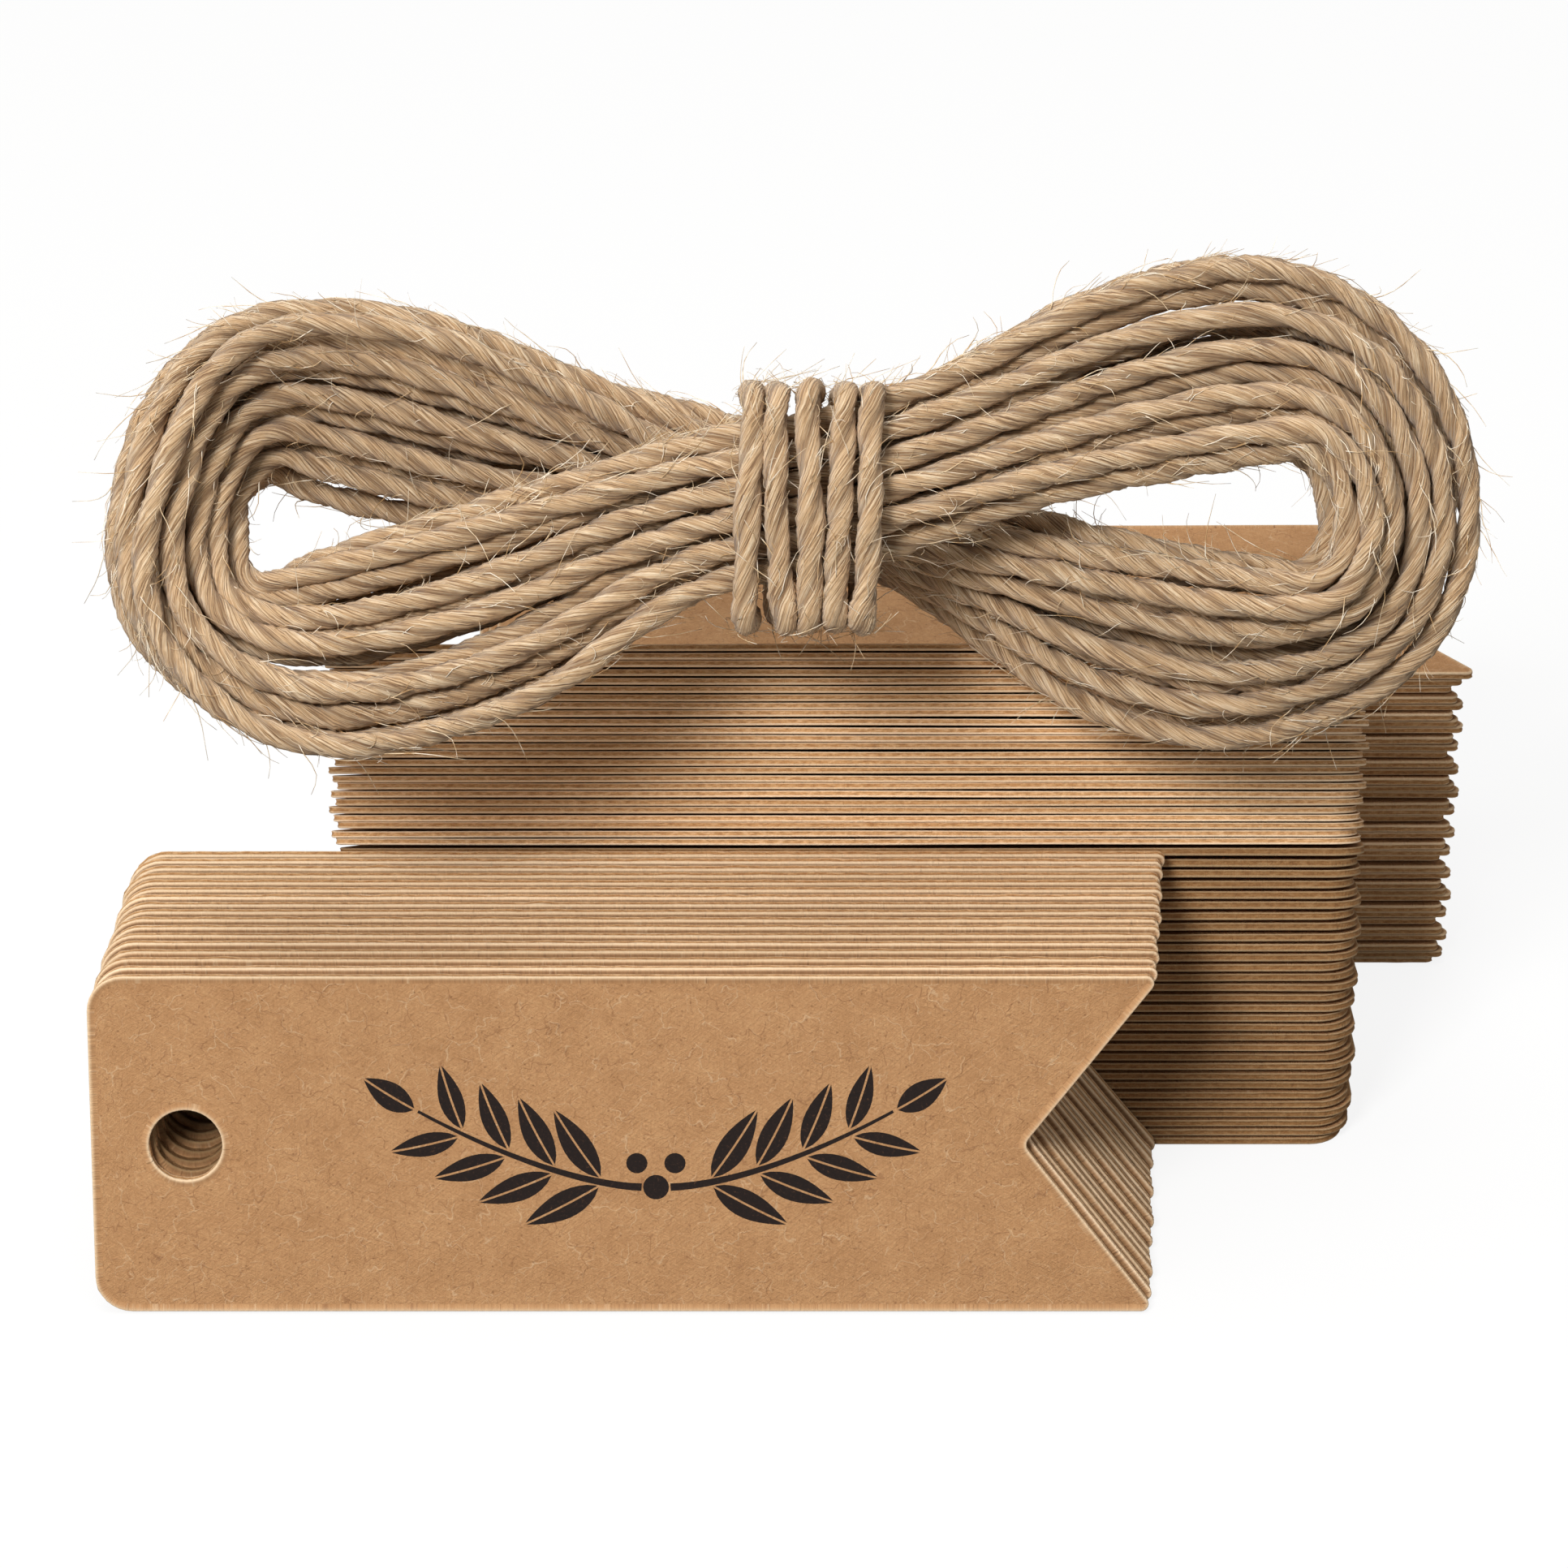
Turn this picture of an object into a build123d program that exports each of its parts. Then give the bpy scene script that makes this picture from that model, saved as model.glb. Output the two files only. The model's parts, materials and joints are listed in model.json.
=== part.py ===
from build123d import *
import math
import os

# A pack of swallowtail gift tags cut from kraft card, in three stacks, with a tied hank of jute twine.
# Millimetres. X runs to the right along the tags, Y runs from the front of the pack to its back, Z is up.
# The front stack stands on its long edges and leans back. The middle stack fans up from the table, with its
# rear edges near the rear stack, which lies flat. The hank sits on the top edge of the middle stack.

# Sizes of one tag
tag_length = 70.0
tag_width = 23.0
tag_thickness = 0.38
tag_corner_radius = 2.4
tag_hole_diameter = 4.8
tag_hole_inset = 6.2
tag_notch_depth = 8.9
tag_notch_radius = 0.7
tag_tip_radius = 0.5

# Front stack: tags on edge, with wider gaps at the foot than at the head
front_count = 17
front_lean_degrees = 16.0
front_back_lean_degrees = 4.0
front_head_gap = 0.48
front_drift = 0.08
front_ragged = 0.15

# Middle stack: a fan, tight at the rear and open at the front
middle_lower_count = 30
middle_upper_count = 25
middle_rear_gap = 0.04
middle_lower_step_degrees = 0.84
middle_upper_step_degrees = 0.31
middle_shift = 14.4
middle_front_gap = 0.3
middle_ragged = 0.35
middle_group_count = 3

# Rear stack: tags lying flat
rear_count = 37
rear_gap = 0.285
rear_shift = 23.8
rear_front_gap = 0.6
rear_ragged = 0.55
rear_ragged_depth = 0.3
rear_top_overhang = 0.8
rear_group_count = 3

# Uneven stacking follows the golden section, so that no two neighbours line up
golden_share = 0.618034

# Twine and its hank, a figure of eight drawn in at the waist
twine_diameter = 1.6
twine_gap = 0.58
hank_row_count = 5
hank_layer_count = 4
hank_half_length = 42.6
hank_half_height = 11.7
hank_half_depth = 7.0
hank_tilt_degrees = 27.0
hank_waist_shift = 46.8
hank_seat_depth = 8.4
hank_seat_gap = 0.3
climb_share = 0.28

# Tie round the waist
tie_turn_count = 5

strand_pitch = twine_diameter + twine_gap

# Stations of the hank's middle strand: across, up and forward as shares of the half sizes,
# then the turn of the bundle in degrees and how far its rows are fanned out
hank_station_shares = [
    (0.0, 0.0, 1.0, 90, 1.0),
    (0.16, 0.1, 1.0, 90, 1.0),
    (0.35, 0.62, 0.94, 90, 1.15),
    (0.63, 0.92, 0.71, 86, 1.35),
    (0.85, 0.58, 0.57, 70, 1.2),
    (0.93, -0.08, 0.46, 58, 1.1),
    (0.83, -0.72, 0.31, 50, 1.15),
    (0.6, -0.97, 0.17, 42, 1.2),
    (0.34, -0.62, -0.3, 14, 1.08),
    (0.16, -0.19, -0.7, 8, 1.0),
    (0.0, 0.0, -0.85, 2, 1.0),
    (-0.16, 0.16, -0.9, 4, 1.0),
    (-0.35, 0.63, -0.52, 2, 1.0),
    (-0.66, 1.08, -0.27, 8, 1.0),
    (-0.9, 0.81, 0.11, 6, 1.0),
    (-1.0, 0.14, 0.43, 20, 1.03),
    (-0.9, -0.53, 0.77, 44, 1.16),
    (-0.66, -0.78, 0.97, 74, 1.38),
    (-0.35, -0.43, 0.8, 90, 1.13),
    (-0.16, -0.08, 0.98, 90, 1.0),
]

# Where the arcs of one loop meet: every second station, and each one beside the waist
hank_node_shares = [0, 0.05, 0.1, 0.2, 0.3, 0.4, 0.45, 0.5, 0.55, 0.6, 0.7, 0.8, 0.9, 0.95]
heading_share = 0.0005

# Along the twine, stretches further apart than this many diameters are taken as different strands
strand_apart_count = 6


def uneven(index, reach):
    """A place from -reach to reach for the tag of that number in its stack."""
    return reach * (2 * ((index * golden_share) % 1) - 1)


def make_tag():
    """One tag: hole end at x 0, swallowtail at its full length, front edge at y 0, lower face at z 0."""
    half_width = tag_width / 2
    notch_x = tag_length - tag_notch_depth
    outline = Polyline(
        (0, 0),
        (tag_length, 0),
        (notch_x, half_width),
        (tag_length, tag_width),
        (0, tag_width),
        close=True,
    )
    face = make_face(outline)
    corners = face.vertices().filter_by(lambda v: v.X < notch_x / 2)
    face = fillet(corners, tag_corner_radius)
    tips = face.vertices().filter_by(lambda v: v.X > tag_length - tag_notch_depth / 2)
    face = fillet(tips, tag_tip_radius)
    apex = face.vertices().sort_by(lambda v: math.dist((v.X, v.Y), (notch_x, half_width)))[0]
    face = fillet([apex], tag_notch_radius)
    hole = Pos(tag_hole_inset, half_width) * Circle(tag_hole_diameter / 2)
    return extrude(face - hole, amount=tag_thickness)


def place_on_edge(tag, left, foot, lean):
    """Stands a tag on its long edge, hole end at the left, leaning back from its front face's foot."""
    plane = Plane(
        origin=(left, foot, tag_thickness * math.sin(lean)),
        x_dir=(1, 0, 0),
        z_dir=(0, -math.cos(lean), math.sin(lean)),
    )
    return plane * Pos(0, 0, -tag_thickness) * tag


def place_fanned(tag, right, rear_y, rear_z, rise):
    """Lays a tag from its rear lower edge, hole end at the right, with its front raised by rise."""
    backward = Vector(0, math.cos(rise), -math.sin(rise))
    upward = Vector(0, math.sin(rise), math.cos(rise))
    front = Vector(right, rear_y, rear_z) - backward * tag_width
    plane = Plane(origin=front, x_dir=(-1, 0, 0), z_dir=-upward)
    return plane * Pos(0, 0, -tag_thickness) * tag


def place_flat(tag, left, front, bottom):
    """Lays a tag flat with its hole end at the left."""
    return Pos(left, front, bottom) * tag


def front_stack(tag):
    """The standing tags from front to back, and the depth where the next stack can begin."""
    lean = math.radians(front_lean_degrees)
    lean_step = (lean - math.radians(front_back_lean_degrees)) / (front_count - 1)
    foot_gap = front_head_gap + tag_width * math.sin(lean_step)
    foot = 0
    placed = []
    for index in range(front_count):
        left = front_drift * index + uneven(index, front_ragged)
        placed.append(place_on_edge(tag, left, foot, lean))
        behind = foot + tag_thickness / math.cos(lean)
        foot = foot + (tag_thickness + foot_gap) / math.cos(lean)
        lean = lean - lean_step
    return placed, behind


def fan_places():
    """The rise of each fanned tag and the height of its rear lower edge, from the table up."""
    places = []
    rise = 0
    rear_z = 0
    for index in range(middle_lower_count + middle_upper_count):
        places.append((rise, rear_z))
        step_degrees = middle_lower_step_degrees if index < middle_lower_count else middle_upper_step_degrees
        rise = rise + math.radians(step_degrees)
        rear_z = rear_z + (tag_thickness + middle_rear_gap) / math.cos(rise)
    return places


def fan_room(places):
    """How far the fan stays behind the front stack's foot, to clear that stack's leaning back."""
    slope = math.tan(math.radians(front_back_lean_degrees))
    room = 0
    for rise, rear_z in places:
        height = min(rear_z + tag_width * math.sin(rise), tag_width)
        set_back = tag_width * (1 - math.cos(rise))
        room = max(room, height * slope - set_back)
    return room


def middle_stack(tag, front, places):
    """The fanned tags from the table up, and the front top corner of the highest tag."""
    rear_y = front + tag_width
    right = middle_shift + tag_length
    placed = []
    for index, (rise, rear_z) in enumerate(places):
        placed.append(place_fanned(tag, right + uneven(index, middle_ragged), rear_y, rear_z, rise))
        corner = Vector(
            0,
            rear_y - tag_width * math.cos(rise) + tag_thickness * math.sin(rise),
            rear_z + tag_width * math.sin(rise) + tag_thickness * math.cos(rise),
        )
    return placed, corner


def rear_stack(tag, front):
    """The flat tags from the table up; the highest sticks out at the right."""
    placed = []
    for index in range(rear_count):
        left = rear_shift + uneven(index, rear_ragged)
        if index == rear_count - 1:
            left = rear_shift + rear_top_overhang
        depth = front + uneven(index + rear_count, rear_ragged_depth)
        placed.append(place_flat(tag, left, depth, index * (tag_thickness + rear_gap)))
    return placed


def eased(share):
    """A smooth step from 0 to 1."""
    share = min(max(share, 0), 1)
    return share * share * (3 - 2 * share)


def hank_station(turn):
    """Middle of the bundle, its turn and its fan at a share of one loop, on a smooth closed curve."""
    count = len(hank_station_shares)
    place = (turn % 1) * count
    index = int(place)
    t = place - index
    a, b, c, d = (hank_station_shares[(index + step) % count] for step in (-1, 0, 1, 2))
    values = []
    for p, q, r, s in zip(a, b, c, d):
        slope = (r - p) * t
        bend = (2 * p - 5 * q + 4 * r - s) * t**2
        twist = (3 * q - p - 3 * r + s) * t**3
        values.append((2 * q + slope + bend + twist) / 2)
    across, up, forward, degrees, fan = values
    middle = Vector(across * hank_half_length, up * hank_half_height, forward * hank_half_depth)
    return middle, math.radians(degrees), fan


def hank_row_and_layer(turns):
    """Where the strand lies in its bundle: rows fill out and in again, and layers climb at the waist."""
    layer = min(int(turns / hank_row_count), hank_layer_count - 1)
    along = turns - layer * hank_row_count
    row = along if layer % 2 == 0 else hank_row_count - along
    nearest = round(turns / hank_row_count)
    past = turns - nearest * hank_row_count
    height = float(layer)
    if 0 < nearest < hank_layer_count and abs(past) < climb_share / 2:
        height = nearest - 1 + eased(past / climb_share + 1 / 2)
    return row - hank_row_count / 2, height - (hank_layer_count - 1) / 2


def hank_point(turns):
    """A point of the strand after that many turns of the figure of eight."""
    middle, roll, fan = hank_station(turns)
    ahead = hank_station(turns + heading_share)[0] - hank_station(turns - heading_share)[0]
    side = Vector(-ahead.Y, ahead.X, 0).normalized()
    depth = side.cross(ahead.normalized())
    if depth.Z > 0:
        depth = -depth
    row, layer = hank_row_and_layer(turns)
    along_row = depth * math.cos(roll) + side * math.sin(roll)
    along_layer = side * math.cos(roll) - depth * math.sin(roll)
    row_pitch = strand_pitch * fan
    layer_pitch = strand_pitch * math.sqrt(fan)
    return middle + along_row * (row * row_pitch) + along_layer * (layer * layer_pitch)


def biarc_path(point_at, places):
    """Two tangent arcs from each place to the next, and a straight end of one diameter at both ends."""
    points = []
    headings = []
    for place in places:
        before = max(place - heading_share, places[0])
        after = min(place + heading_share, places[-1])
        points.append(point_at(place))
        headings.append((point_at(after) - point_at(before)).normalized())
    edges = [Edge.make_line(points[0] - headings[0] * twine_diameter, points[0])]
    for start, out, end, into in zip(points, headings, points[1:], headings[1:]):
        chord = end - start
        lean = chord.dot(out + into)
        spread = 2 * (1 - out.dot(into))
        square = chord.dot(chord)
        reach = square / (lean + math.sqrt(lean * lean + spread * square))
        near = start + out * reach
        far = end - into * reach
        joint = (near + far) / 2
        edges.append(Edge.make_tangent_arc(start, out, joint))
        edges.append(Edge.make_tangent_arc(joint, far - near, end))
    edges.append(Edge.make_line(points[-1], points[-1] + headings[-1] * twine_diameter))
    return edges


def twine_tube(edges):
    """One unbroken tube of twine along tangent edges."""
    start = edges[0].position_at(0)
    section = Plane(origin=start, z_dir=edges[0].tangent_at(0)) * Circle(twine_diameter / 2)
    return sweep(section, path=Wire(edges))


def spots_along(edges):
    """Points half a diameter apart along a path, each with its distance from the start."""
    spots = []
    run = 0
    for edge in edges:
        count = math.ceil(2 * edge.length / twine_diameter)
        for index in range(count):
            spots.append((run + edge.length * index / count, edge.position_at(index / count)))
        run += edge.length
    return spots


def least_gap(spots):
    """The least clear gap between one stretch of a tube and another, on points of its middle line."""
    apart = strand_apart_count * twine_diameter
    cell = 2 * strand_pitch
    least = cell
    cells = {}
    for run, spot in spots:
        key = tuple(math.floor(value / cell) for value in spot)
        cells.setdefault(key, []).append((run, tuple(spot)))
    for (x, y, z), near in cells.items():
        around = []
        for step_x in (-1, 0, 1):
            for step_y in (-1, 0, 1):
                for step_z in (-1, 0, 1):
                    around.extend(cells.get((x + step_x, y + step_y, z + step_z), []))
        for run, spot in near:
            for other_run, other in around:
                if other_run - run > apart:
                    least = min(least, math.dist(spot, other))
    return least - twine_diameter


def tie_size(hank_spots):
    """Half height, front and back of the tie, one strand's pitch outside the hank's waist."""
    reach = strand_pitch * tie_turn_count / 2
    waist = [spot for run, spot in hank_spots if abs(spot.X) < reach]
    half_height = max(abs(spot.Y) for spot in waist) + strand_pitch
    front = max(spot.Z for spot in waist) + strand_pitch
    back = min(spot.Z for spot in waist) - strand_pitch
    return half_height, front, back


def tie_path(half_height, front, back):
    """Oblong turns side by side: forward below, up the front, back over the top and down to the next turn."""
    bend = strand_pitch
    forward = Vector(0, 0, 1)
    upward = Vector(0, 1, 0)
    edges = []
    for turn in range(tie_turn_count):
        across = strand_pitch * (turn - (tie_turn_count - 1) / 2)
        low_front = Vector(across, -half_height, front - bend)
        front_low = Vector(across, bend - half_height, front)
        front_high = Vector(across, half_height - bend, front)
        high_front = Vector(across, half_height, front - bend)
        high_back = Vector(across, half_height, back + bend)
        edges.append(Edge.make_line(Vector(across, -half_height, back + bend), low_front))
        edges.append(Edge.make_tangent_arc(low_front, forward, front_low))
        edges.append(Edge.make_line(front_low, front_high))
        edges.append(Edge.make_tangent_arc(front_high, upward, high_front))
        edges.append(Edge.make_line(high_front, high_back))
        if turn < tie_turn_count - 1:
            back_high = Vector(across, half_height - bend, back)
            back_middle = Vector(across + strand_pitch / 2, 0, back)
            back_low = Vector(across + strand_pitch, bend - half_height, back)
            low_back = Vector(across + strand_pitch, -half_height, back + bend)
            slant = Edge.make_tangent_arc(back_high, -upward, back_middle)
            edges.append(Edge.make_tangent_arc(high_back, -forward, back_high))
            edges.append(slant)
            edges.append(Edge.make_tangent_arc(back_middle, slant.tangent_at(1), back_low))
            edges.append(Edge.make_tangent_arc(back_low, -upward, low_back))
    return edges


def grouped(tags, size):
    """Neighbouring tags of a stack, taken together."""
    return [Compound(tags[start : start + size]) for start in range(0, len(tags), size)]


tag = make_tag()
front_tags, front_end = front_stack(tag)
middle_places = fan_places()
middle_front = front_end + fan_room(middle_places) + middle_front_gap
middle_tags, seat_corner = middle_stack(tag, middle_front, middle_places)
rear_tags = rear_stack(tag, middle_front + tag_width + rear_front_gap)

hank_loops = hank_row_count * hank_layer_count
hank_places = [loop + share for loop in range(hank_loops) for share in hank_node_shares]
hank_edges = biarc_path(hank_point, hank_places + [hank_loops])
hank_spots = spots_along(hank_edges)
tie_height, tie_front, tie_back = tie_size(hank_spots)
tie_edges = tie_path(tie_height, tie_front, tie_back)
tie_spots = spots_along(tie_edges)

# The hank's plane leans back, and the tie's lowest side rests over the seat corner
tilt = math.radians(hank_tilt_degrees)
hank_up = Vector(0, math.sin(tilt), math.cos(tilt))
hank_forward = Vector(0, -math.cos(tilt), math.sin(tilt))
seat_below = tie_height + twine_diameter / 2 + hank_seat_gap
waist = seat_corner + hank_up * seat_below + hank_forward * hank_seat_depth
hank_plane = Plane(
    origin=(hank_waist_shift, waist.Y, waist.Z),
    x_dir=(1, 0, 0),
    z_dir=hank_forward,
)

nodes = {}
for number, piece in enumerate(front_tags, 1):
    nodes[f"front_tag_{number:02d}"] = piece
lower_tags = middle_tags[:middle_lower_count]
upper_tags = middle_tags[middle_lower_count:-1]
for number, piece in enumerate(grouped(lower_tags, middle_group_count), 1):
    nodes[f"middle_lower_tags_{number:02d}"] = piece
for number, piece in enumerate(grouped(upper_tags, middle_group_count), 1):
    nodes[f"middle_upper_tags_{number:02d}"] = piece
nodes["middle_top_tag"] = middle_tags[-1]
for number, piece in enumerate(grouped(rear_tags[:-1], rear_group_count), 1):
    nodes[f"rear_tags_{number:02d}"] = piece
nodes["rear_top_tag"] = rear_tags[-1]
nodes["twine_hank"] = hank_plane * twine_tube(hank_edges)
nodes["twine_tie"] = hank_plane * twine_tube(tie_edges)

# The pack stands on the table with its middle over the origin
box = Compound(list(nodes.values())).bounding_box()
to_origin = Pos(-box.center().X, -box.center().Y, -box.min.Z)

os.makedirs("parts", exist_ok=True)
for name, piece in nodes.items():
    export_step(to_origin * piece, f"parts/{name}.step")

print("size of the pack", box.size)
print("origin from the front tag's hole end", box.center().X, box.center().Y, box.min.Z)
print("middle stack front", middle_front, "seat corner", seat_corner, "waist", waist)
print("twine length", sum(edge.length for edge in hank_edges), "least gap", least_gap(hank_spots))
print("tie length", sum(edge.length for edge in tie_edges), "least gap", least_gap(tie_spots))
print("tie half height", tie_height, "front", tie_front, "back", tie_back)
arcs = [edge for edge in hank_edges + tie_edges if edge.geom_type == GeomType.CIRCLE]
radii = [arc.radius for arc in arcs]
print("radii of the twine's arcs from", min(radii), "to", max(radii))
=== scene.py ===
"""A pack of kraft gift tags in three stacks, with a tied hank of jute twine on top."""

import json
import math
import random

import bmesh
import bpy
import numpy as np
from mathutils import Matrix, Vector, geometry, noise

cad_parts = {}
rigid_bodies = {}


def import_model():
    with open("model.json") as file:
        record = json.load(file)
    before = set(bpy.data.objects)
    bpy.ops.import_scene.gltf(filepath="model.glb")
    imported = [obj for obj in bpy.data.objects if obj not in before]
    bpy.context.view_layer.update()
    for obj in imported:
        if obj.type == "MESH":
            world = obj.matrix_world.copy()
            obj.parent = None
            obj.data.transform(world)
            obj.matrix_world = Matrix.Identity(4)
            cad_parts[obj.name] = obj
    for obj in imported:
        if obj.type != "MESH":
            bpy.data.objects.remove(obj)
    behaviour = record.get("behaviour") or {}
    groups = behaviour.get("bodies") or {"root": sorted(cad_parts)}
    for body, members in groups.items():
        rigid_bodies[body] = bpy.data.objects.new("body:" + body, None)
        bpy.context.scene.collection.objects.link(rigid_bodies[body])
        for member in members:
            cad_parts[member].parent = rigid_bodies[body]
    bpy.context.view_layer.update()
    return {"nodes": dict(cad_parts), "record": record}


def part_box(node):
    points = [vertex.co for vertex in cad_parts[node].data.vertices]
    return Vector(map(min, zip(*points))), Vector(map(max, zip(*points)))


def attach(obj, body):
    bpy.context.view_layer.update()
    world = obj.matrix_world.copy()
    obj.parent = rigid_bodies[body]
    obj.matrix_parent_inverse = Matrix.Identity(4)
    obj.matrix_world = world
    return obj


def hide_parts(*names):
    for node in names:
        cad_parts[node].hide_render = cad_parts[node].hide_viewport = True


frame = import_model()
MM = 0.001

# Camera, as the photograph was taken: from the front, 30 degrees above the table, with a long lens; its sizes
# are in millimetres, and it sees from the clip start on, in metres
camera_elevation_degrees = 30.0
camera_distance = 330.0
camera_lens = 121.7
camera_sensor_width = 36.0
camera_clip_start = 0.01
aim_from_front_foot = (45.4, 0.0, 40.3)

# One tag, in millimetres, and the number of straight pieces that its edges are made of
tag_length = 70.0
tag_width = 23.0
tag_thickness = 0.38
tag_corner_radius = 2.4
tag_hole_radius = 2.4
tag_hole_inset = 6.2
tag_notch_depth = 8.9
tag_notch_radius = 0.7
tag_tip_radius = 0.5
long_edge_pieces = 64
notch_edge_pieces = 10
corner_pieces = 8
tip_pieces = 6
hole_pieces = 40
plan_tolerance = 0.00001

# Points of the CAD mesh that lie nearer than this, in metres, are one
merge_distance = 0.000001

# Section of a die-cut edge: how far in from the outline, height as a share of the thickness there, how far
# the die has swollen the card, and how much of the cut shows: 0 on the face, a half at its lip, then 1
cut_section = [
    (0.5, 1.0, 0.0, 0.0),
    (0.28, 1.0, 0.35, 0.12),
    (0.11, 0.985, 0.9, 0.4),
    (0.03, 0.9, 1.0, 0.5),
    (0.0, 0.76, 1.0, 0.5),
    (0.01, 0.66, 1.0, 0.85),
    (0.05, 0.52, 1.0, 1.0),
    (0.045, 0.24, 1.0, 1.0),
    (0.0, 0.13, 1.0, 0.6),
    (0.03, 0.03, 1.0, 0.45),
    (0.22, 0.0, 0.35, 0.0),
    (0.45, 0.0, 0.0, 0.0),
]

# By stack, the thickness of the swollen edge in millimetres and the painted light and shade on its cut
edge_thickness = {"front": 0.77, "middle_upper": 0.48, "middle_top": 0.48, "middle_lower": 0.58, "rear": 0.56}
# Above 1 is painted light, below 1 painted shade: the lower middle and rear cuts lie in shade
painted_cut_light_and_shade = {"front": 1.12, "middle_upper": 1.2, "middle_top": 1.1, "middle_lower": 0.45, "rear": 0.9}
# Painted shade inside the holes: their cuts keep this share of their brightness
painted_hole_shade = 0.2

# How cards differ: the spread of their tones and of their cuts' brightness, the roughness of the cut in
# millimetres, and how far the pattern of the card moves from card to card and from front to back
tone_spread = (0.94, 1.05)
shade_spread = (0.82, 1.14)
cut_roughness = 0.022
card_pattern_span = 400
back_pattern_shift = 80

# How cards bow off their plane: by how many millimetres in each stack, in which waves along the card, each
# as its number of half waves and its share, how these and the card's lift vary, how much is left in the
# middle of the width, and the share of all this that is used
bow_sizes = {"front": 0.06, "middle": 0.05, "rear": 0.08}
bow_waves = ((1.0, 1.0), (2.7, 0.6), (6.1, 0.3))
bow_wave_spread = (0.3, 1)
bow_lift_spread = (-0.5, 0.5)
bow_middle_share = 0.4
bow_used_share = 0.75

# Twine and hank, with the sizes of the CAD model's tube, in millimetres
twine_diameter = 1.6
strand_pitch = 2.18
hank_rows = 5
hank_layers = 4
hank_half_size = Vector((42.6, 11.7, 7.0))
hank_tilt_degrees = 27.0
climb_share = 0.28
heading_share = 0.0005
points_per_turn = 24

# The tie, in millimetres: where its middle lies in front of the hank's, its turns' pitch and bends, how far
# it bulges in front, stands off the hank, sags below and is slack behind, and how unevenly its turns lie
tie_turns = 5
tie_middle = -0.39
tie_pitch = 1.86
tie_bend = 2.1
tie_bulge = 0.7
tie_reach = 1.5
tie_height_reach = 0.7
tie_sag = 1.35
tie_slack_behind = 2.4
tie_lean = 0.1
tie_lift_spread = (-0.1, 0.2)
tie_uneven = (0.24, 0.1, 0.2)
tie_fit_steps = 120

# The hank's middle strand: across, up and forward as shares of the half sizes, then the turn of the bundle in
# degrees and how far its rows are fanned out
hank_station_shares = [
    (0.0, 0.0, 1.0, 90, 1.0),
    (0.16, 0.18, 1.0, 90, 1.04),
    (0.35, 0.47, 0.94, 88, 1.16),
    (0.615, 0.8, 0.71, 84, 1.5),
    (0.81, 0.63, 0.57, 66, 1.2),
    (0.897, -0.03, 0.46, 56, 1.08),
    (0.822, -0.73, 0.33, 52, 1.18),
    (0.58, -0.8, 0.17, 54, 1.55),
    (0.34, -0.5, -0.3, 38, 1.3),
    (0.16, -0.19, -0.7, 14, 1.04),
    (0.0, 0.0, -0.85, 2, 1.0),
    (-0.16, 0.19, -0.9, 16, 1.04),
    (-0.35, 0.22, -0.55, 54, 1.2),
    (-0.62, 0.44, -0.3, 67, 1.52),
    (-0.826, 0.65, -0.02, 53, 1.3),
    (-0.95, 0.12, 0.47, 29, 1.08),
    (-0.922, -0.77, 0.76, 51, 1.06),
    (-0.64, -0.9, 0.97, 76, 1.57),
    (-0.35, -0.4, 0.8, 90, 1.24),
    (-0.16, -0.08, 0.98, 90, 1.04),
]

# Slack turns: the turn's number, where on it, over what share of a turn, and how far they stand out
slack_turns = [
    (2, 0.665, 0.11, 1.7),
    (19, 0.83, 0.09, 1.2),
    (0, 0.36, 0.14, 0.7),
]

# Shares of the strand's pitch: how close the strands lie at the waist and in the loops, how far they wander
# there, and how far one layer is staggered against the next and nests in it
waist_share = 0.8
loop_share = 0.92
row_wander_share = 0.5
layer_wander_share = 0.5
stagger_share = 0.3
nest_share = 0.32

# Along the hank's half length: from where and over how far the strands come free of the waist, from where and
# over how far one layer nests in the next, and the middle of a loop; then how fast the strands wander
free_from_share = 0.2
free_over_share = 0.4
nest_from_share = 0.05
nest_over_share = 0.2
loop_middle_share = 0.55
wander_rate = 2.3
wander_place = (7.7, 1.3)

# Twine's own make, in millimetres: two plies, with one full turn of the twist in this length, and the radius
# at their crests and grooves; its first ring is turned by a direction that no route starts in
twist_length = 8.6
ply_crest = 0.86
ply_groove = 0.62
ply_roundness = 0.75
twine_sides = 12
route_resolution = 15
first_ring_direction = (0.3, 0.5, 0.8)

# Unevenness of the twine: of its twist in radians, of its thickness as a share, each over a length in
# millimetres, and of its skin in millimetres; then the sine waves that such a value is made of
twist_wander = 0.9
twist_wander_length = 30
swell_share = 0.07
swell_length = 9
skin_roughness = 0.03
wave_count = 6
wave_length_spread = (0.6, 1.9)

# Stray fibres: how many to the square metre of outer twine, the distance from the bundle's middle from which
# strands carry them, how they taper, bend and are strewn, and their kinds as length, half thickness, how far
# they lift off and how far they curl; lengths are in millimetres and angles in radians, and the thickness is
# twice the real one, so that they show
fibre_density = 1350000.0
tie_fibre_share = 0.6
bundle_core = 2.2
fibre_shapes = 8
fibre_joints = 6
fibre_corners = 3
fibre_root_depth = 0.05
fibre_start_spread = 0.2
fibre_taper_share = 0.6
fibre_scatter = (0.12, 0.16, 0.1)
fibre_droop_share = 0.22
fibre_swing = ((-0.4, -0.16, -0.8), (0.4, 0.1, 0.8))
fibre_sizes = (0.45, 1.2)
fibre_kinds = [
    (2.2, 0.036, 0.16, 0.16),
    (3.4, 0.038, 0.2, 0.24),
    (1.4, 0.034, 0.34, 0.5),
    (4.6, 0.04, 0.14, 0.12),
]

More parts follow.
